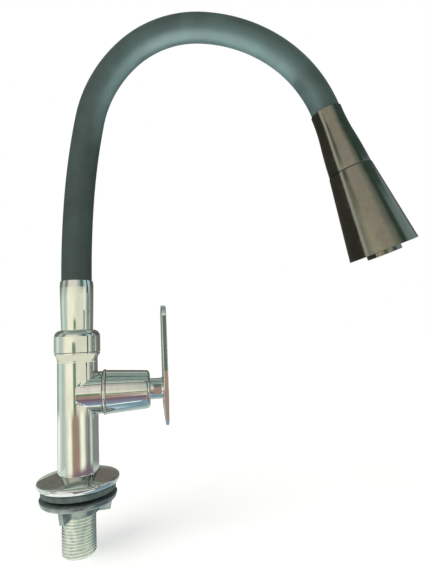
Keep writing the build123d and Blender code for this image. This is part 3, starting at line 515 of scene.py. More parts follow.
# Materials: the size of each pattern in millimetres, and how far one is squeezed in height
BUFFING_WAVE = 12.0
WIPING_SMEAR = 5.0
SMEAR_DRAW = 0.35
TURNING_LINE = 0.9
TURNING_DRAW = 6.0
PLATING_BLOTCH = 3.0
CASTING_GRAIN = 0.7
TUMBLING_BLOTCH = 6.0
RUBBER_DUST = 4.0
RUBBER_SKIN = 0.5
SILICONE_BLOOM = 14.0
SILICONE_SKIN = 0.6
MOULDING_WAVE = 16.0
INNER_GRAIN = 0.8


def polished_chrome():
    """Chromium plate on cast brass, buffed: a mirror whose cast skin still waves a little."""
    made, tree = new_material("polished_chrome")
    # buffing leaves long waves, and wiping leaves faint smears drawn out downwards
    waves = add(tree, "ShaderNodeTexNoise", Vector=place_of(tree), Scale=1 / BUFFING_WAVE, Detail=1.0)
    smears = add(tree, "ShaderNodeTexNoise", Vector=place_of(tree, SMEAR_DRAW), Scale=1 / WIPING_SMEAR,
                 Detail=4.0)
    rough = add(tree, "ShaderNodeMapRange", Value=smears, From_Min=0.35, From_Max=0.75,
                To_Min=0.035, To_Max=0.07)
    colour = add(tree, "ShaderNodeValToRGB", stops=((0.3, "#e9eae8"), (0.75, "#d9dad7")), Fac=smears)
    bump = add(tree, "ShaderNodeBump", Strength=0.06, Distance=0.6 * MM, Height=waves)
    return finished(made, colour, rough, bump, Metallic=1.0)


def rolled_thread():
    """Nickel-bright plate over a cut thread: fine turning lines and faint blotches."""
    made, tree = new_material("plated_thread")
    lines = add(tree, "ShaderNodeTexNoise", Vector=place_of(tree, TURNING_DRAW), Scale=1 / TURNING_LINE,
                Detail=3.0)
    blotch = add(tree, "ShaderNodeTexNoise", Vector=place_of(tree), Scale=1 / PLATING_BLOTCH, Detail=3.0)
    colour = add(tree, "ShaderNodeValToRGB", stops=((0.3, "#c9cdc6"), (0.7, "#e6e8e0")), Fac=blotch)
    bump = add(tree, "ShaderNodeBump", Strength=0.25, Distance=0.05 * MM, Height=lines)
    return finished(made, colour, 0.22, bump, Metallic=1.0)


def cast_zinc():
    """Die-cast zinc, tumbled: grey, satin, with a grainy skin."""
    made, tree = new_material("cast_zinc")
    at = place_of(tree)
    grain = add(tree, "ShaderNodeTexNoise", Vector=at, Scale=1 / CASTING_GRAIN, Detail=4.0)
    blotch = add(tree, "ShaderNodeTexNoise", Vector=at, Scale=1 / TUMBLING_BLOTCH, Detail=3.0)
    colour = add(tree, "ShaderNodeValToRGB", stops=((0.3, "#7d8784"), (0.7, "#a3aba6")), Fac=blotch)
    rough = add(tree, "ShaderNodeMapRange", Value=grain, To_Min=0.2, To_Max=0.32)
    bump = add(tree, "ShaderNodeBump", Strength=0.35, Distance=0.12 * MM, Height=grain)
    return finished(made, colour, rough, bump, Metallic=1.0)


def moulded_rubber():
    """Moulded rubber: matt, dark grey-green, dusted paler where it is handled."""
    made, tree = new_material("moulded_rubber")
    at = place_of(tree)
    dust = add(tree, "ShaderNodeTexNoise", Vector=at, Scale=1 / RUBBER_DUST, Detail=4.0)
    skin = add(tree, "ShaderNodeTexNoise", Vector=at, Scale=1 / RUBBER_SKIN, Detail=2.0)
    colour = add(tree, "ShaderNodeValToRGB", stops=((0.35, "#4f5d59"), (0.7, "#6b7a75")), Fac=dust)
    bump = add(tree, "ShaderNodeBump", Strength=0.2, Distance=0.06 * MM, Height=skin)
    return finished(made, colour, 0.55, bump, Specular_IOR_Level=0.4)


def hose_silicone():
    """Extruded silicone: soft matt grey-green with a faint bloom of dust."""
    made, tree = new_material("hose_silicone")
    at = place_of(tree)
    bloom = add(tree, "ShaderNodeTexNoise", Vector=at, Scale=1 / SILICONE_BLOOM, Detail=4.0)
    skin = add(tree, "ShaderNodeTexNoise", Vector=at, Scale=1 / SILICONE_SKIN, Detail=2.0)
    colour = add(tree, "ShaderNodeValToRGB", stops=((0.3, "#31403e"), (0.7, "#3d4e4b")), Fac=bloom)
    rough = add(tree, "ShaderNodeMapRange", Value=bloom, To_Min=0.46, To_Max=0.54)
    bump = add(tree, "ShaderNodeBump", Strength=0.15, Distance=0.05 * MM, Height=skin)
    return finished(made, colour, rough, bump, Specular_IOR_Level=0.6)


def gunmetal_plate():
    """Dark chromium plate on moulded ABS: a smoky mirror with faint moulding waves."""
    made, tree = new_material("gunmetal_plate")
    at = place_of(tree)
    waves = add(tree, "ShaderNodeTexNoise", Vector=at, Scale=1 / MOULDING_WAVE, Detail=1.0)
    smears = add(tree, "ShaderNodeTexNoise", Vector=at, Scale=1 / WIPING_SMEAR, Detail=4.0)
    rough = add(tree, "ShaderNodeMapRange", Value=smears, From_Min=0.3, From_Max=0.75,
                To_Min=0.12, To_Max=0.2)
    colour = add(tree, "ShaderNodeValToRGB", stops=((0.3, "#7f7c72"), (0.75, "#8b887e")), Fac=smears)
    bump = add(tree, "ShaderNodeBump", Strength=0.06, Distance=0.6 * MM, Height=waves)
    return finished(made, colour, rough, bump, Metallic=1.0)


def plain_finish(name, dark, light, roughness, metallic=0.0):
    """A turned, moulded or pressed inner part, seen only when the tap is apart."""
    made, tree = new_material(name)
    noise = add(tree, "ShaderNodeTexNoise", Vector=place_of(tree), Scale=1 / INNER_GRAIN, Detail=3.0)
    colour = add(tree, "ShaderNodeValToRGB", stops=((0.3, dark), (0.7, light)), Fac=noise)
    bump = add(tree, "ShaderNodeBump", Strength=0.15, Distance=0.05 * MM, Height=noise)
    return finished(made, colour, roughness, bump, Metallic=metallic)


CHROME = polished_chrome()
THREAD_PLATE = rolled_thread()
ZINC = cast_zinc()
RUBBER = moulded_rubber()
SILICONE = hose_silicone()
GUNMETAL = gunmetal_plate()
BRASS = plain_finish("turned_brass", "#b08d4a", "#c9a866", 0.3, metallic=1.0)
STEEL = plain_finish("spring_steel", "#8d8f8e", "#a9abaa", 0.3, metallic=1.0)
LINK_STEEL = plain_finish("gooseneck_steel", "#7d807f", "#9a9d9c", 0.35, metallic=1.0)
CERAMIC = plain_finish("polished_ceramic", "#e2dfd6", "#eeece5", 0.12)
TUBE = plain_finish("milky_polythene", "#c4c9c4", "#d7dbd6", 0.45)
NYLON = plain_finish("white_nylon", "#d9d9d3", "#e6e6e1", 0.5)
DARK_PLASTIC = plain_finish("dark_acetal", "#1d2020", "#2a2e2d", 0.42)

CARRIED = {
    "slip_rings": NYLON, "headwork_body": BRASS, "spindle": BRASS, "foot_nipple": BRASS, "head_nipple": BRASS,
    "seat_seal": RUBBER, "spout_o_rings": RUBBER, "core_o_ring": RUBBER, "stem_rings": RUBBER,
    "fixed_disc": CERAMIC, "moving_disc": CERAMIC, "spindle_clip": STEEL, "core_clip": STEEL,
    "lever_screw": STEEL, "head_core": DARK_PLASTIC, "diverter_plate": DARK_PLASTIC,
    "face_plate": DARK_PLASTIC, "aerator": DARK_PLASTIC,
}
CARRIED.update({f"gooseneck_{number + 1}": LINK_STEEL for number in range(len(LINK_TURNS))})


def dress_carried_nodes():
    """Gives each CAD node that stays its own finish."""
    for node, material in CARRIED.items():
        mesh = frame["nodes"][node].data
        mesh.materials.clear()
        mesh.materials.append(material)


# Pieces on the worktop and under it
def threaded_shank():
    """The shank: one pitch of its 55 degree thread swept up a helix, then trimmed and bored."""
    slope = (THREAD_R - THREAD_ROOT_R) * tan(radians(THREAD_ANGLE / 2))
    root_flat = THREAD_PITCH - CREST_FLAT - 2 * slope
    heights = (0.0, root_flat, root_flat + slope, root_flat + slope + CREST_FLAT, THREAD_PITCH)
    radii = (THREAD_ROOT_R, THREAD_ROOT_R, THREAD_R, THREAD_R, THREAD_ROOT_R)
    foot = SHANK_FOOT - THREAD_RUN_IN * THREAD_PITCH
    bm = bmesh.new()
    corners = [bm.verts.new((radius, 0, foot + height)) for radius, height in zip(radii, heights)]
    for pair in zip(corners, corners[1:]):
        bm.edges.new(pair)
    turns = ceil((THREAD_TOP - foot) / THREAD_PITCH) + 1
    bmesh.ops.spin(
        bm, geom=bm.verts[:] + bm.edges[:], cent=(0, 0, 0), axis=(0, 0, 1), angle=2 * pi * turns,
        dvec=(0, 0, THREAD_PITCH / THREAD_ROUND), steps=THREAD_ROUND * turns, use_merge=False,
    )
    bmesh.ops.remove_doubles(bm, verts=bm.verts, dist=THREAD_WELD)
    for height, below in ((SHANK_FOOT - THREAD_SPARE, True), (THREAD_TOP, False)):
        bmesh.ops.bisect_plane(
            bm, geom=everything(bm), dist=ON_PLANE, plane_co=(0, 0, height), plane_no=(0, 0, 1),
            clear_inner=below, clear_outer=not below,
        )
    bmesh.ops.holes_fill(bm, edges=[edge for edge in bm.edges if edge.is_boundary])
    bmesh.ops.recalc_face_normals(bm, faces=bm.faces)
    blank_r, blank_top = THREAD_R + BLANK_SPARE, THREAD_TOP + PAST
    blank = turned([
        (WATERWAY_R, SHANK_FOOT), (THREAD_R - THREAD_CHAMFER, SHANK_FOOT),
        (blank_r, SHANK_FOOT + THREAD_CHAMFER + BLANK_SPARE), (blank_r, blank_top), (WATERWAY_R, blank_top),
    ], row=ONE_ROW)
    upper = ring(WATERWAY_R, UPPER_SHANK_R, THREAD_TOP - BLANK_SPARE, SHANK_TOP, row=ONE_ROW)
    bm = combined(loose_object(bm), ("INTERSECT", loose_object(blank)), ("UNION", loose_object(upper)))
    made = piece("shank_with_thread", bm, UPRIGHT, THREAD_PLATE, "tap", ["threaded_shank"], crease=25)
    under_worktop.objects.link(made)


def base_flange():
    """Domed flange whose rim curls in to its foot."""
    foot, side = (FLANGE_FOOT_R, GASKET_T), (FLANGE_R, FLANGE_RIM_Z - FLANGE_EDGE)
    inner, top = (FLANGE_R - FLANGE_EDGE, FLANGE_RIM_Z + FLANGE_LIP), (BODY_R + FIT, FLANGE_TOP_Z)
    turn = dip(FLANGE_EDGE)
    rim = arc(foot, midway(foot, side, FLANGE_CURL, -FLANGE_SAG), side)
    edge = arc(side, (FLANGE_R - turn, FLANGE_RIM_Z - turn + FLANGE_EDGE_LIFT), inner, steps=6)
    dome = arc(inner, midway(inner, top, up=FLANGE_CROWN), top)
    outline = [(HOLE_R, GASKET_T)] + rim + edge[1:] + dome[1:]
    outline += [(BODY_R + FIT, BODY_FOOT_Z), (HOLE_R, BODY_FOOT_Z)]
    bm = turned(outline, EDGE, LARGE_ROUND)
    piece("base_flange_dome", bm, UPRIGHT, CHROME, "tap", ["base_flange"])


def deck_gasket():
    """Thick rubber ring, its edges moulded round."""
    bm = ring(HOLE_R, GASKET_R, 0, GASKET_T, GASKET_EDGE, MAIN_ROUND)
    piece("deck_gasket_ring", bm, UPRIGHT, RUBBER, "tap", ["deck_gasket"])


def clamp_washer():
    """Thin rubber ring on the lock nut."""
    bm = ring(HOLE_R, WASHER_R, WASHER_TOP - WASHER_T, WASHER_TOP, EDGE, MAIN_ROUND)
    piece("clamp_washer_ring", bm, UPRIGHT, RUBBER, "clamp_washer", ["clamp_washer"])


def lock_nut():
    """Round plate with a boss and three fins that a box spanner grips."""
    boss_end = NUT_UNDER - NUT_BOSS_H
    plate = turned([
        (NUT_BORE_R, NUT_TOP), (NUT_R, NUT_TOP), (NUT_R, NUT_UNDER + NUT_BEVEL),
        (NUT_R - NUT_BEVEL, NUT_UNDER), (NUT_BOSS_R, NUT_UNDER), (NUT_BOSS_R, boss_end),
        (NUT_BORE_R, boss_end),
    ], FINE_EDGE, MAIN_ROUND)
    fin_profile = (
        (FIN_ROOT_R, NUT_TOP - NUT_T / 2), (FIN_R, NUT_TOP - NUT_T / 2), (FIN_R, NUT_UNDER),
        (FIN_FOOT_R, NUT_UNDER - FIN_DROP), (NUT_BOSS_R, NUT_UNDER - FIN_DROP), (FIN_ROOT_R, boss_end),
    )
    fins = []
    for count in range(FIN_COUNT):
        fin = slab([(radius, -FIN_T / 2, height) for radius, height in fin_profile], (0, FIN_T, 0))
        bmesh.ops.recalc_face_normals(fin, faces=fin.faces)
        round_edges(fin, BOLD_EDGE)
        turn = Matrix.Rotation(radians(FIN_ANGLE + 360 / FIN_COUNT * count), 4, "Z")
        fins.append(("UNION", loose_object(fin, turn)))
    bm = combined(loose_object(plate), *fins)
    made = piece("lock_nut_casting", bm, UPRIGHT, ZINC, "lock_nut", ["lock_nut"])
    under_worktop.objects.link(made)


# Body and spout base
def tee_body():
    """Column with a branch, bored for the shank, the valve and the ferrule."""
    socket_r, bottom = SHANK_SOCKET_R, BODY_FOOT_Z
    outline = [(0, SHANK_TOP), (socket_r, SHANK_TOP), (socket_r, bottom), (BODY_R, bottom)]
    outline += arc(*BODY_FLARE, steps=8) + [
        (BODY_RIM_R, BODY_RIM_Z), (NECK_R, BODY_RIM_Z), (NECK_R, NECK_TOP_Z), (SPOUT_BORE_R, NECK_TOP_Z),
        (SPOUT_BORE_R, SPOUT_BORE_FLOOR), (0, SPOUT_BORE_FLOOR),
    ]
    column = turned(outline, EDGE, MAIN_ROUND, FINE_ROW)
    along = Matrix.Scale(1 / MM, 4) @ VALVE
    branch = ring(0, BRANCH_R, 0, BRANCH_END, EDGE, MAIN_ROUND, FINE_ROW)
    chamber = ring(0, CHAMBER_R, CHAMBER_START, BRANCH_END + PAST, segments=CUTTER_ROUND)
    seat = ring(0, SEAT_BORE_R, -PAST, CHAMBER_START + PAST, segments=CUTTER_ROUND)
    feed = ring(0, FEED_BORE_R, SHANK_TOP - PAST, VALVE_Z, segments=CUTTER_ROUND)
    bm = combined(
        loose_object(column),
        ("UNION", loose_object(branch, along)),
        ("DIFFERENCE", loose_object(chamber, along)),
        ("DIFFERENCE", loose_object(seat, along)),
        ("DIFFERENCE", loose_object(feed)),
    )
    piece("tee_body_casting", bm, UPRIGHT, CHROME, "tap", ["tee_body"])


def spout_nut():
    """Collar with a rounded shoulder."""
    side, top, bore = SPOUT_NUT_R, SPOUT_NUT_TOP, FERRULE_FOOT_R + RUNNING_FIT
    turn = dip(SPOUT_NUT_ROUND)
    outline = [(NECK_R + FIT, SPOUT_NUT_FOOT), (side, SPOUT_NUT_FOOT)]
    outline += arc((side, top - SPOUT_NUT_ROUND), (side - turn, top - turn), (side - SPOUT_NUT_ROUND, top))
    outline += [(bore, top), (bore, SPOUT_NUT_ROOF), (NECK_R + FIT, SPOUT_NUT_ROOF)]
    bm = turned(outline, FINE_EDGE, MAIN_ROUND)
    piece("spout_nut_collar", bm, UPRIGHT, CHROME, "tap", ["spout_nut"])


def swivel_ferrule():
    """Stem, flange and the barrel-shaped cup that the hose comes out of."""
    low, high = FERRULE_FLANGE_Z
    outline = [
        (FERRULE_BORE_R, FERRULE_STEM_FOOT), (FERRULE_STEM_R, FERRULE_STEM_FOOT), (FERRULE_STEM_R, low),
        (FERRULE_FLANGE_R, low), (FERRULE_FLANGE_R, high), (FERRULE_FOOT_R, high),
    ]
    outline += arc((FERRULE_FOOT_R, SPOUT_NUT_TOP), FERRULE_BARREL, FERRULE_TOP)
    outline += arc(FERRULE_TOP, FERRULE_LIP, (FERRULE_MOUTH_R, FERRULE_MOUTH_Z))[1:]
    outline += [
        (CUP_R, FERRULE_MOUTH_Z), (CUP_R, CUP_FLOOR), (NIPPLE_R, CUP_FLOOR), (NIPPLE_R, NIPPLE_FOOT),
        (FERRULE_BORE_R, NIPPLE_FOOT),
    ]
    bm = turned(outline, FERRULE_EDGE, MAIN_ROUND)
    piece("swivel_ferrule_sleeve", bm, UPRIGHT, CHROME, "spout", ["swivel_ferrule"])


# Valve
def bead_ring():
    """Bright round-edged ring between the branch and the cover."""
    bm = ring(BEAD_BORE_R, BEAD_R, *BEAD_SPAN, BEAD_EDGE, MAIN_ROUND)
    piece("bead_ring_trim", bm, VALVE, CHROME, "tap", ["bead_ring"])


def bonnet_cover():
    """Tapered shell with a rounded nose and a web that centres it on the headwork."""
    start, end = COVER_SPAN
    web_low, web_high = COVER_WEB
    nose, mouth = COVER_NOSE_R, LEVER_NECK_R + NECK_GAP
    inside, roof = nose - COVER_WALL, end - COVER_WALL
    turn, big, small = dip(COVER_ROUND), COVER_ROUND, COVER_INNER_ROUND
    outline = [(COVER_FOOT_R - COVER_WALL, start), (COVER_FOOT_R, start)]
    outline += arc((nose + COVER_DRAFT, end - big), (nose - turn, end - turn), (nose - big, end))
    outline += [
        (mouth, end), (mouth, roof), (inside - small, roof), (inside, roof - small), (inside, web_high),
        (COVER_WEB_R, web_high), (COVER_WEB_R, web_low), (inside, web_low),
    ]
    bm = turned(outline, FINE_EDGE, MAIN_ROUND)
    piece("bonnet_cover_shell", bm, VALVE, CHROME, "tap", ["bonnet_cover"])


def plate_outline(steps=14):
    """The lever's outline, round three circles on one line: (up, across) points."""
    (top, top_r), (hub, hub_r), (tip, tip_r) = PLATE_CIRCLES
    upper = asin((hub_r - top_r) / (top - hub))
    lower = asin((hub_r - tip_r) / (hub - tip))
    quarter = pi / 2
    spans = (
        (top, top_r, upper - quarter, quarter - upper),
        (hub, hub_r, quarter - upper, quarter + lower),
        (tip, tip_r, quarter + lower, 2 * pi - (quarter + lower)),
        (hub, hub_r, -quarter - lower, -quarter + upper),
    )
    points = []
    for centre, radius, first, last in spans:
        count = max(3, ceil(steps * abs(last - first)))
        for i in range(count + 1):
            angle = first + (last - first) * i / count
            points.append((centre + radius * cos(angle), radius * sin(angle)))
    return points


def lever():
    """Flat drop-shaped plate on a round neck; its lower tip is thinned from behind."""
    front = PLATE_START + PLATE_T
    plate = slab([(up, across, PLATE_START) for up, across in plate_outline()], (0, 0, PLATE_T))
    length, depth = TIP_BEVEL
    tip, tip_r = PLATE_CIRCLES[2]
    bmesh.ops.bisect_plane(
        plate, geom=everything(plate), dist=ON_PLANE, plane_co=(tip - tip_r + length, 0, PLATE_START),
        plane_no=Vector((-depth, 0, -length)).normalized(), clear_outer=True,
    )
    bmesh.ops.holes_fill(plate, edges=[edge for edge in plate.edges if edge.is_boundary])
    bmesh.ops.recalc_face_normals(plate, faces=plate.faces)
    round_edges(plate, PLATE_ROUND, steps=4, steepest=40)
    bmesh.ops.triangulate(plate, faces=[face for face in plate.faces if len(face.verts) > 4])
    neck = turned(
        [(LEVER_BORE_R, LEVER_NECK_START), (LEVER_NECK_R, LEVER_NECK_START)]
        + [(LEVER_NECK_R + out, PLATE_START + up) for out, up in NECK_FLARE]
        + [(LEVER_BORE_R, PLATE_START + NECK_FLARE[-1][1])],
        SMALL_EDGE,
    )
    recess = ring(0, CAP_R + FIT, front - CAP_SEAT, front + PAST, segments=CUTTER_ROUND)
    hole = ring(0, SCREW_HOLE_R, SPINDLE_END - PAST, front, segments=CUTTER_ROUND)
    bm = combined(
        loose_object(plate), ("UNION", loose_object(neck)), ("DIFFERENCE", loose_object(recess)),
        ("DIFFERENCE", loose_object(hole)),
    )
    piece("lever_plate", bm, VALVE, CHROME, "lever", ["lever"], flatness=96)
    cap = ring(0, CAP_R, front - CAP_T, front, SMALL_EDGE, CUTTER_ROUND)
    piece("screw_cap_disc", cap, VALVE, CHROME, "lever", ["screw_cap"])


# Hose
def tube_section(radius, bore, origin, along, across):
    """The tube's end face as a flat ring, square to its line."""
    bm = bmesh.new()
    rings = [bmesh.ops.create_circle(bm, segments=HOSE_ROUND, radius=r)["verts"] for r in (radius, bore)]
    edges = list({edge for ring in rings for vert in ring for edge in vert.link_edges})
    bmesh.ops.bridge_loops(bm, edges=edges)
    bm.transform(Matrix.Scale(1 / MM, 4) @ place_along(origin, along, across))
    return bm


def grow(bm, end_face, **move):
    """Sweeps the tube's newest end face on, and returns the parts of the new one."""
    return bmesh.ops.spin(bm, geom=end_face, use_merge=False, **move)["geom_last"]


def hose_pieces(name, radius, bore, material, node):
    """A tube along the hose, in curved pieces that each span one hinge."""
    last_hinge = len(LINK_TURNS) - 1
    for hinge in range(1, last_hinge + 1):
        first_share = 0.0 if hinge == 1 else MID_LINK
        last_share = 1.0 if hinge == last_hinge else MID_LINK
        start, along, across = further(*LINKS[hinge - 1], LINK_TURNS[hinge - 1], first_share)
        if hinge == 1:
            foot = Vector((0, 0, HOSE_START_Z))
            bm = tube_section(radius, bore, foot, along, across)
            end_face = grow(
                bm, everything(bm), cent=(0, 0, 0), axis=(0, 1, 0), dvec=(start - foot) / FOOT_ROWS, angle=0,
                steps=FOOT_ROWS,
            )
        else:
            bm = tube_section(radius, bore, start, along, across)
            end_face = everything(bm)
        for link, share in ((hinge - 1, 1.0 - first_share), (hinge, last_share)):
            origin, along, across = LINKS[link]
            turn = radians(LINK_TURNS[link])
            end_face = grow(
                bm, end_face, cent=origin + across * LINK_LENGTH / turn, axis=along.cross(across),
                dvec=(0, 0, 0), angle=turn * share, steps=ceil(LINK_LENGTH * share / FINE_ROW),
            )
        bmesh.ops.remove_doubles(bm, verts=bm.verts, dist=WELD)
        bmesh.ops.recalc_face_normals(bm, faces=bm.faces)
        nodes = [f"{node}_{hinge}"] + ([f"{node}_{hinge + 1}"] if hinge == last_hinge else [])
        made = piece(f"{name}_{hinge}", bm, UPRIGHT, material, None, nodes, crease=50)
        hose_only.objects.link(made)
        centre, along = LINKS[hinge][0] * MM, LINKS[hinge][1] * BEND_REACH * MM
        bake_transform(made)


# Spray head
def head_upper_shell():
    """Slim neck of the head, flaring to the joint line."""
    low, high = HEAD_WEB
    outline = arc(HEAD_MOUTH, midway(HEAD_MOUTH, HEAD_WAIST, -HEAD_HOLLOW), HEAD_WAIST, steps=12)
    outline += arc(HEAD_WAIST, midway(HEAD_WAIST, HEAD_JOINT, HEAD_SWELL), HEAD_JOINT, steps=12)[1:]
    outline += [
        (CORE_R + FIT, HEAD_JOINT[1]), (CORE_R + FIT, high), (NIPPLE_R, high), (NIPPLE_R, low),
        (HEAD_SOCKET_R, low), (HEAD_SOCKET_R, 0.0),
    ]
    bm = turned(outline, EDGE, MAIN_ROUND)
    piece("head_upper_cone", bm, HEAD, GUNMETAL, "hose_6", ["head_upper_shell"])


def cone_radius(along):
    """The lower shell's outer radius at a station of the head."""
    share = (along - HEAD_JOINT[1]) / (HEAD_RIM[1] - HEAD_JOINT[1])
    return CONE_MOUTH_R + share * (HEAD_RIM[0] - CONE_MOUTH_R)


def head_lower_shell():
    """Wide cone with a bearing collar inside its narrow end."""
    start, rim, bore = HEAD_JOINT[1] + HEAD_JOINT_GAP, HEAD_RIM[1], JOURNAL_R + RUNNING_FIT
    bm = turned([
        (bore, start), (cone_radius(start), start), (cone_radius(rim), rim),
        (cone_radius(rim) - HEAD_WALL, rim), (cone_radius(BEARING_END) - HEAD_WALL, BEARING_END),
        (bore, BEARING_END),
    ], BOLD_EDGE, MAIN_ROUND)
    piece("head_lower_cone", bm, HEAD, GUNMETAL, "head_lower", ["head_lower_shell"])


def nozzle_ring():
    """Barrel round the aerator, standing out of the face."""
    low, high = NOZZLE_SPAN
    ledge_r, ledge = NOZZLE_LEDGE
    bm = turned([
        (ledge_r, low), (NOZZLE_R, low), (NOZZLE_R, high), (NOZZLE_BORE_R, high), (NOZZLE_BORE_R, ledge),
        (ledge_r, ledge),
    ], EDGE)
    piece("nozzle_ring_barrel", bm, HEAD, GUNMETAL, "head_lower", ["nozzle_ring"])


def spray_nubs():
    """Rubber skin with a tapered nub through each hole of the face."""
    skin = ring(NOZZLE_R + FIT, FACE_HOLE_R + SKIN_BAND, FACE_AT - SKIN_T, FACE_AT)
    root, end = FACE_AT - NUB_ROOT, FACE_AT + FACE_T + NUB_PROUD
    thinner, taper = NUB_TAPER
    nub_outline = [
        (NUB_BORE_R, root), (NUB_R, root), (NUB_R, end - taper), (NUB_R - thinner, end), (NUB_BORE_R, end),
    ]
    for count in range(FACE_HOLES):
        nub = turned(nub_outline, segments=NUB_ROUND, row=ONE_ROW)
        turn = Matrix.Rotation(2 * pi / FACE_HOLES * count, 4, "Z")
        nub.transform(turn @ Matrix.Translation((FACE_HOLE_R, 0, 0)))
        mesh = bpy.data.meshes.new("nub")
        nub.to_mesh(mesh)
        nub.free()
        skin.from_mesh(mesh)
        bpy.data.meshes.remove(mesh)
    piece("spray_nub_skin", skin, HEAD, RUBBER, "head_lower", ["spray_nubs"])


# Studio
def seen_share(tree):
    """1 where the camera sees directly, in a mirror or through glass, else 0."""
    path = add(tree, "ShaderNodeLightPath")
    seen = path.outputs["Is Camera Ray"]
    for name in ("Is Glossy Ray", "Is Transmission Ray"):
        seen = add(tree, "ShaderNodeMath", {"operation": "MAXIMUM"}, _0=seen, _1=path.outputs[name])
    return seen


def studio_floor():
    """Pale floor, lifted to white where it is seen, so that only shadows show on it."""
    made, tree = new_material("pale_floor")
    lift = add(tree, "ShaderNodeMath", {"operation": "MULTIPLY"}, _0=seen_share(tree), _1=FLOOR_LIFT)
    lit = add(tree, "ShaderNodeBsdfDiffuse", Color=linear(FLOOR_COLOUR))
    glow = add(tree, "ShaderNodeEmission", Color=linear(WHITE), Strength=lift)
    both = add(tree, "ShaderNodeAddShader", _0=lit, _1=glow)
    add(tree, "ShaderNodeOutputMaterial", Surface=both)
    bm = bmesh.new()
    bmesh.ops.create_grid(bm, x_segments=2, y_segments=2, size=FLOOR_SIZE / 2)
    bmesh.ops.translate(bm, vec=(0, 0, FLOOR_Z), verts=bm.verts)
    floor = loose_object(bm, UPRIGHT)
    floor.name = "studio_floor"
    floor.data.materials.append(made)


# Colours of the reflector cards round the tap, as they look in polished chrome
FROST, IVORY, CREAM, OAT = "#f3f8f2", "#fdfce7", "#f2f1d9", "#dcdcc8"
BLUSH, SAND, PINK_BROWN, UMBER = "#dcd6cc", "#ae9e92", "#9d8678", "#6b675f"
PALE_MINT, MINT, SAGE, JADE = "#d3ddd3", "#b4c2b9", "#95a29a", "#8aa196"
DARK_GREEN, TEAL, SLATE, ASH = "#728671", "#678280", "#697470", "#6d706a"
SMOKE, GREY, LEAF, MOSS = "#81857f", "#9aa29b", "#b0bbad", "#858c7d"
MIST, STEEL_BLUE, ICE, NEAR_WHITE = "#aac3c8", "#7b98a4", "#c7e0e3", "#e7ebeb"
VIOLET_GREY, PLUM, STONE = "#807c91", "#7c6773", "#c6bfb6"
PINE, BOTTLE_GREEN, NIGHT = "#4d6760", "#5f6f67", "#50504a"

# Cards by their bearing in degrees: 0 is the camera's side, 90 the lever's, 180 behind
WORKTOP_CARDS = (
    (-180, SMOKE), (-155, GREY), (-138, LEAF), (-124, PALE_MINT), (-115, FROST), (-100, FROST),
    (-91, PALE_MINT), (-76, MINT), (-58, MINT), (-44, OAT), (-30, IVORY), (-22, CREAM), (-14, SAND),
    (-8, PINK_BROWN), (15, PINK_BROWN), (22, SAND), (28, OAT), (35, IVORY), (45, IVORY), (52, OAT),
    (60, GREY), (66, TEAL), (80, TEAL), (86, GREY), (92, PALE_MINT), (100, MINT), (108, SMOKE), (180, SMOKE),
)
EYE_CARDS = (
    (-180, ASH), (-158, SMOKE), (-148, MINT), (-134, SAGE), (-118, SAGE), (-106, MINT), (-98, PALE_MINT),
    (-88, PALE_MINT), (-76, MINT), (-62, MINT), (-52, OAT), (-44, CREAM), (-14, CREAM), (20, OAT), (58, OAT),
    (70, CREAM), (80, PALE_MINT), (92, GREY), (100, ASH), (112, GREY), (128, SMOKE), (142, ASH), (180, ASH),
)
LENS_LINE = ((-9, CREAM), (-5, DARK_GREEN), (7, DARK_GREEN), (12, OAT))
LEVEL_CARDS = tuple(sorted(EYE_CARDS + LENS_LINE))
HIGH_CARDS = (
    (-180, UMBER), (-150, UMBER), (-122, SLATE), (-98, ASH), (-85, LEAF), (-72, LEAF), (-64, SMOKE),
    (-48, SMOKE), (-38, BLUSH), (12, BLUSH), (25, LEAF), (38, GREY), (48, PINE), (60, PINE), (70, MIST),
    (112, MIST), (126, SLATE), (134, NIGHT), (152, NIGHT), (160, UMBER), (180, UMBER),
)
UPPER_CARDS = (
    (-180, UMBER), (-98, ASH), (-85, LEAF), (-72, LEAF), (-60, SMOKE), (-36, STONE), (12, STONE), (28, GREY),
    (42, SLATE), (50, PINE), (120, PINE), (134, NIGHT), (152, NIGHT), (160, UMBER), (180, UMBER),
)
# Cards by their height in degrees: -90 is straight below, 90 straight above
UNDER_CARDS = (
    (-88, ICE), (-76, STEEL_BLUE), (-56, STEEL_BLUE), (-48, VIOLET_GREY), (-43, VIOLET_GREY), (-37, PLUM),
)
UNDER_BACK_CARDS = ((-85, ICE), (-74, STEEL_BLUE), (-68, NEAR_WHITE), (-60, MINT))
OVERHEAD_CARDS = (
    (45, MOSS), (49, SLATE), (53, PALE_MINT), (57, SLATE), (61, MINT), (65, SLATE), (76, JADE), (90, SLATE),
)
# Heights between which each ring of cards gives way to the next
CARD_STEPS = ((-28, -24), (-11, -8), (0.5, 1.1), (5, 9), (31, 35), (42, 46))

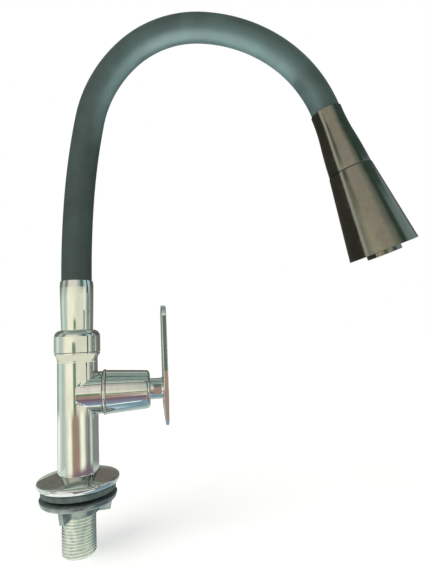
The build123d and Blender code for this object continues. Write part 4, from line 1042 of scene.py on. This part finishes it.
# Flat cards near the tap: colour, corner and two sides. Each shows on the side that its sides turn to.
FLAG_CARDS = {
    # beyond the lever, for the dark and the light line on the right of the spout nut and the ferrule
    "dark_flag": (NIGHT, (145, -12, 80), (0, 520, 0), (0, 0, 180)),
    "strip_flag": (FROST, (145, -23, 80), (0, 11, 0), (0, 0, 180)),
    # on the floor and round the shank, for the flange's underside, the lock nut and the thread
    "counter_card": (NEAR_WHITE, (-85, -150, -37.55), (93, 0, 0), (0, 110, 0)),
    "foot_card": (FROST, (-60, -40, -37.55), (78, 0, 0), (0, 52, 0)),
    "shank_card": (FROST, (60, -40, -37.55), (-120, 0, 0), (0, 0, 23)),
    "left_card": (PALE_MINT, (-62, -50, -36), (0, 110, 0), (0, 0, 36)),
    "right_card": (PALE_MINT, (34, 8, -37.5), (-32, -32, 0), (0, 0, 20.5)),
    # over the body's rim, for the flare below the spout nut
    "flare_card": (OAT, (-32, -32, 80.5), (74, 0, 0), (0, 32, 0)),
    # in front of the branch, for the green and brown bands of the cover and the lever
    "lens_flag": (DARK_GREEN, (140, -200, 31), (-84, 0, 0), (0, 0, 18)),
    "grip_flag": (BOTTLE_GREEN, (94, -32, 74), (-36, 0, 0), (0, 0, 42)),
    "skirt_flag": (PINK_BROWN, (94, -32, 2), (-36, 0, 0), (0, 0, 72)),
}


def by_share(cards, half_turn):
    """Cards placed by degrees as colour stops over plus or minus the half turn."""
    return tuple(((degrees + half_turn) / (2 * half_turn), colour) for degrees, colour in cards)


def reflector_dome():
    """A dome of reflector cards with a flat bottom on the floor, seen only in gloss."""
    made, tree = new_material("reflector_cards")
    coordinates = add(tree, "ShaderNodeTexCoord").outputs["Object"]
    centred = add(tree, "ShaderNodeMapping", Vector=coordinates, Scale=[1 / MM] * 3,
                  Location=[-c for c in DOME_CENTRE])
    split = add(tree, "ShaderNodeSeparateXYZ", Vector=centred)
    x, y, z = (split.outputs[name] for name in "XYZ")
    front = add(tree, "ShaderNodeMath", {"operation": "MULTIPLY"}, _0=y, _1=-1.0)
    level = add(tree, "ShaderNodeCombineXYZ", X=x, Y=y)
    flat = add(tree, "ShaderNodeVectorMath", {"operation": "LENGTH"}, _0=level)
    bearing = add(tree, "ShaderNodeMath", {"operation": "ARCTAN2"}, _0=x, _1=front)
    height = add(tree, "ShaderNodeMath", {"operation": "ARCTAN2"}, _0=z, _1=flat.outputs["Value"])
    round_share = add(tree, "ShaderNodeMapRange", Value=bearing, From_Min=-pi, From_Max=pi)
    up_share = add(tree, "ShaderNodeMapRange", Value=height, From_Min=-pi / 2, From_Max=pi / 2)
    turns = ((90, up_share, (UNDER_CARDS, UNDER_BACK_CARDS)),
             (180, round_share, (WORKTOP_CARDS, LEVEL_CARDS, EYE_CARDS, HIGH_CARDS, UPPER_CARDS)),
             (90, up_share, (OVERHEAD_CARDS,)))
    under, under_back, *rings = (
        add(tree, "ShaderNodeValToRGB", stops=by_share(cards, half_turn), Fac=share)
        for half_turn, share, card_rings in turns for cards in card_rings
    )
    # a Mix node's colours are its sockets 6 and 7, and their mix is its output 2
    behind = add(tree, "ShaderNodeMapRange", {"interpolation_type": "SMOOTHSTEP"}, Value=y,
                 From_Min=DOME_BACK[0], From_Max=DOME_BACK[1])
    colour = add(tree, "ShaderNodeMix", {"data_type": "RGBA"}, Factor=behind, _6=under, _7=under_back)
    for (start, end), ring_colour in zip(CARD_STEPS, rings):
        share = add(tree, "ShaderNodeMapRange", {"interpolation_type": "SMOOTHSTEP"}, Value=height,
                    From_Min=radians(start), From_Max=radians(end))
        colour = add(tree, "ShaderNodeMix", {"data_type": "RGBA"}, Factor=share,
                     _6=colour.outputs[2], _7=ring_colour)
    glow = add(tree, "ShaderNodeEmission", Color=colour.outputs[2], Strength=CARD_GLOW)
    add(tree, "ShaderNodeOutputMaterial", Surface=glow)
    bm = bmesh.new()
    bmesh.ops.create_uvsphere(bm, u_segments=DOME_SEGMENTS[0], v_segments=DOME_SEGMENTS[1], radius=DOME_R)
    bmesh.ops.translate(bm, vec=DOME_CENTRE, verts=bm.verts)
    for vert in bm.verts:
        vert.co.z = max(vert.co.z, FLOOR_Z + DOME_FLOOR)
    mirror_only("reflector_dome", bm, made)


def flag_card(name, hex_colour, *sheet):
    """A flat card that shows on one side only, and only in gloss."""
    made, tree = new_material(name)
    back = add(tree, "ShaderNodeNewGeometry").outputs["Backfacing"]
    glow = add(tree, "ShaderNodeEmission", Color=linear(hex_colour), Strength=CARD_GLOW)
    clear = add(tree, "ShaderNodeBsdfTransparent")
    sided = add(tree, "ShaderNodeMixShader", _0=back, _1=glow, _2=clear)
    add(tree, "ShaderNodeOutputMaterial", Surface=sided)
    corner, along, up = (Vector(part) for part in sheet)
    bm = bmesh.new()
    bm.faces.new([bm.verts.new(at) for at in (corner, corner + along, corner + along + up, corner + up)])
    mirror_only(name, bm, made)


def mirror_only(name, bm, material):
    """Adds a mesh to the scene that shows only in gloss."""
    made = loose_object(bm, UPRIGHT)
    made.name = name
    made.data.materials.append(material)
    made.visible_camera = False
    made.visible_diffuse = False
    made.visible_transmission = False
    made.visible_shadow = False


def hung_lamp(name, kind, towards, strength, colour, only):
    """A lamp that shines away from this direction, on everything or on one collection only."""
    data = bpy.data.lights.new(name, kind)
    data.energy = strength
    data.color = linear(colour)[:3]
    lamp = bpy.data.objects.new(name, data)
    lamp.rotation_euler = Vector(towards).to_track_quat("Z", "Y").to_euler()
    lamp.light_linking.receiver_collection = only
    scene.collection.objects.link(lamp)
    return lamp


def soft_sun(name, bearing, height, width, strength, colour, only=None):
    """Even soft light from one side, not seen in gloss unless it is kept to some pieces."""
    b, h = radians(bearing), radians(height)
    lamp = hung_lamp(name, "SUN", (sin(b) * cos(h), -cos(b) * cos(h), sin(h)), strength, colour, only)
    lamp.data.angle = radians(width)
    lamp.visible_glossy = only is not None


def worktop_glow():
    """The light that a pale worktop throws up under the arch, on the matt hose only."""
    lamp = hung_lamp("worktop_glow", "AREA", (0, 0, -1), GLOW_POWER, GLOW_COLOUR, hose_only)
    lamp.data.shape = "RECTANGLE"
    lamp.data.size, lamp.data.size_y = (side * MM for side in GLOW_SIZE)
    lamp.location = Vector(GLOW_AT) * MM
    lamp.visible_camera = False


def studio_world():
    """White where it is seen, directly or in a mirror, and a soft even light on the tap."""
    world = bpy.data.worlds.new("studio_world")
    world.use_nodes = True
    scene.world = world
    tree = world.node_tree
    tree.nodes.clear()
    light = add(tree, "ShaderNodeBackground", Color=linear(WORLD_COLOUR), Strength=WORLD_LIGHT)
    white = add(tree, "ShaderNodeBackground", Color=linear(WHITE), Strength=1.0)
    mixed = add(tree, "ShaderNodeMixShader", _0=seen_share(tree), _1=light, _2=white)
    add(tree, "ShaderNodeOutputWorld", Surface=mixed)


def camera():
    """The photograph's camera: its place, turn and lens."""
    yaw, pitch, roll = radians(CAMERA_YAW), radians(CAMERA_PITCH), radians(CAMERA_ROLL)
    ahead = Vector((sin(yaw) * cos(pitch), cos(yaw) * cos(pitch), sin(pitch)))
    level = Vector((cos(yaw), -sin(yaw), 0))
    upward = level.cross(ahead)
    right = level * cos(roll) + upward * sin(roll)
    top = upward * cos(roll) - level * sin(roll)
    data = bpy.data.cameras.new("photo_camera")
    data.sensor_fit = "VERTICAL"
    data.sensor_height = SENSOR
    data.lens = FOCAL_PX / IMAGE_H * SENSOR
    made = bpy.data.objects.new("photo_camera", data)
    turn = Matrix((right, top, -ahead)).transposed().to_4x4()
    made.matrix_world = Matrix.Translation(Vector(CAMERA_AT) * MM) @ turn
    scene.collection.objects.link(made)
    scene.camera = made


camera()
scene.view_settings.view_transform = "Standard"
studio_world()
studio_floor()
reflector_dome()
for flag_name, flag in FLAG_CARDS.items():
    flag_card(flag_name, *flag)
soft_sun("key_sun", *KEY_SUN)
soft_sun("fill_sun", *FILL_SUN)
soft_sun("counter_sun", *COUNTER_SUN, only=under_worktop)
worktop_glow()

dress_carried_nodes()
threaded_shank()
base_flange()
deck_gasket()
clamp_washer()
lock_nut()
tee_body()
spout_nut()
swivel_ferrule()
bead_ring()
bonnet_cover()
lever()
hose_pieces("hose_sleeve", SLEEVE_R, SLEEVE_BORE_R, SILICONE, "sleeve")
hose_pieces("inner_water_tube", WATER_TUBE_R, WATER_TUBE_BORE_R, TUBE, "water_tube")
head_upper_shell()
head_lower_shell()
nozzle_ring()
spray_nubs()
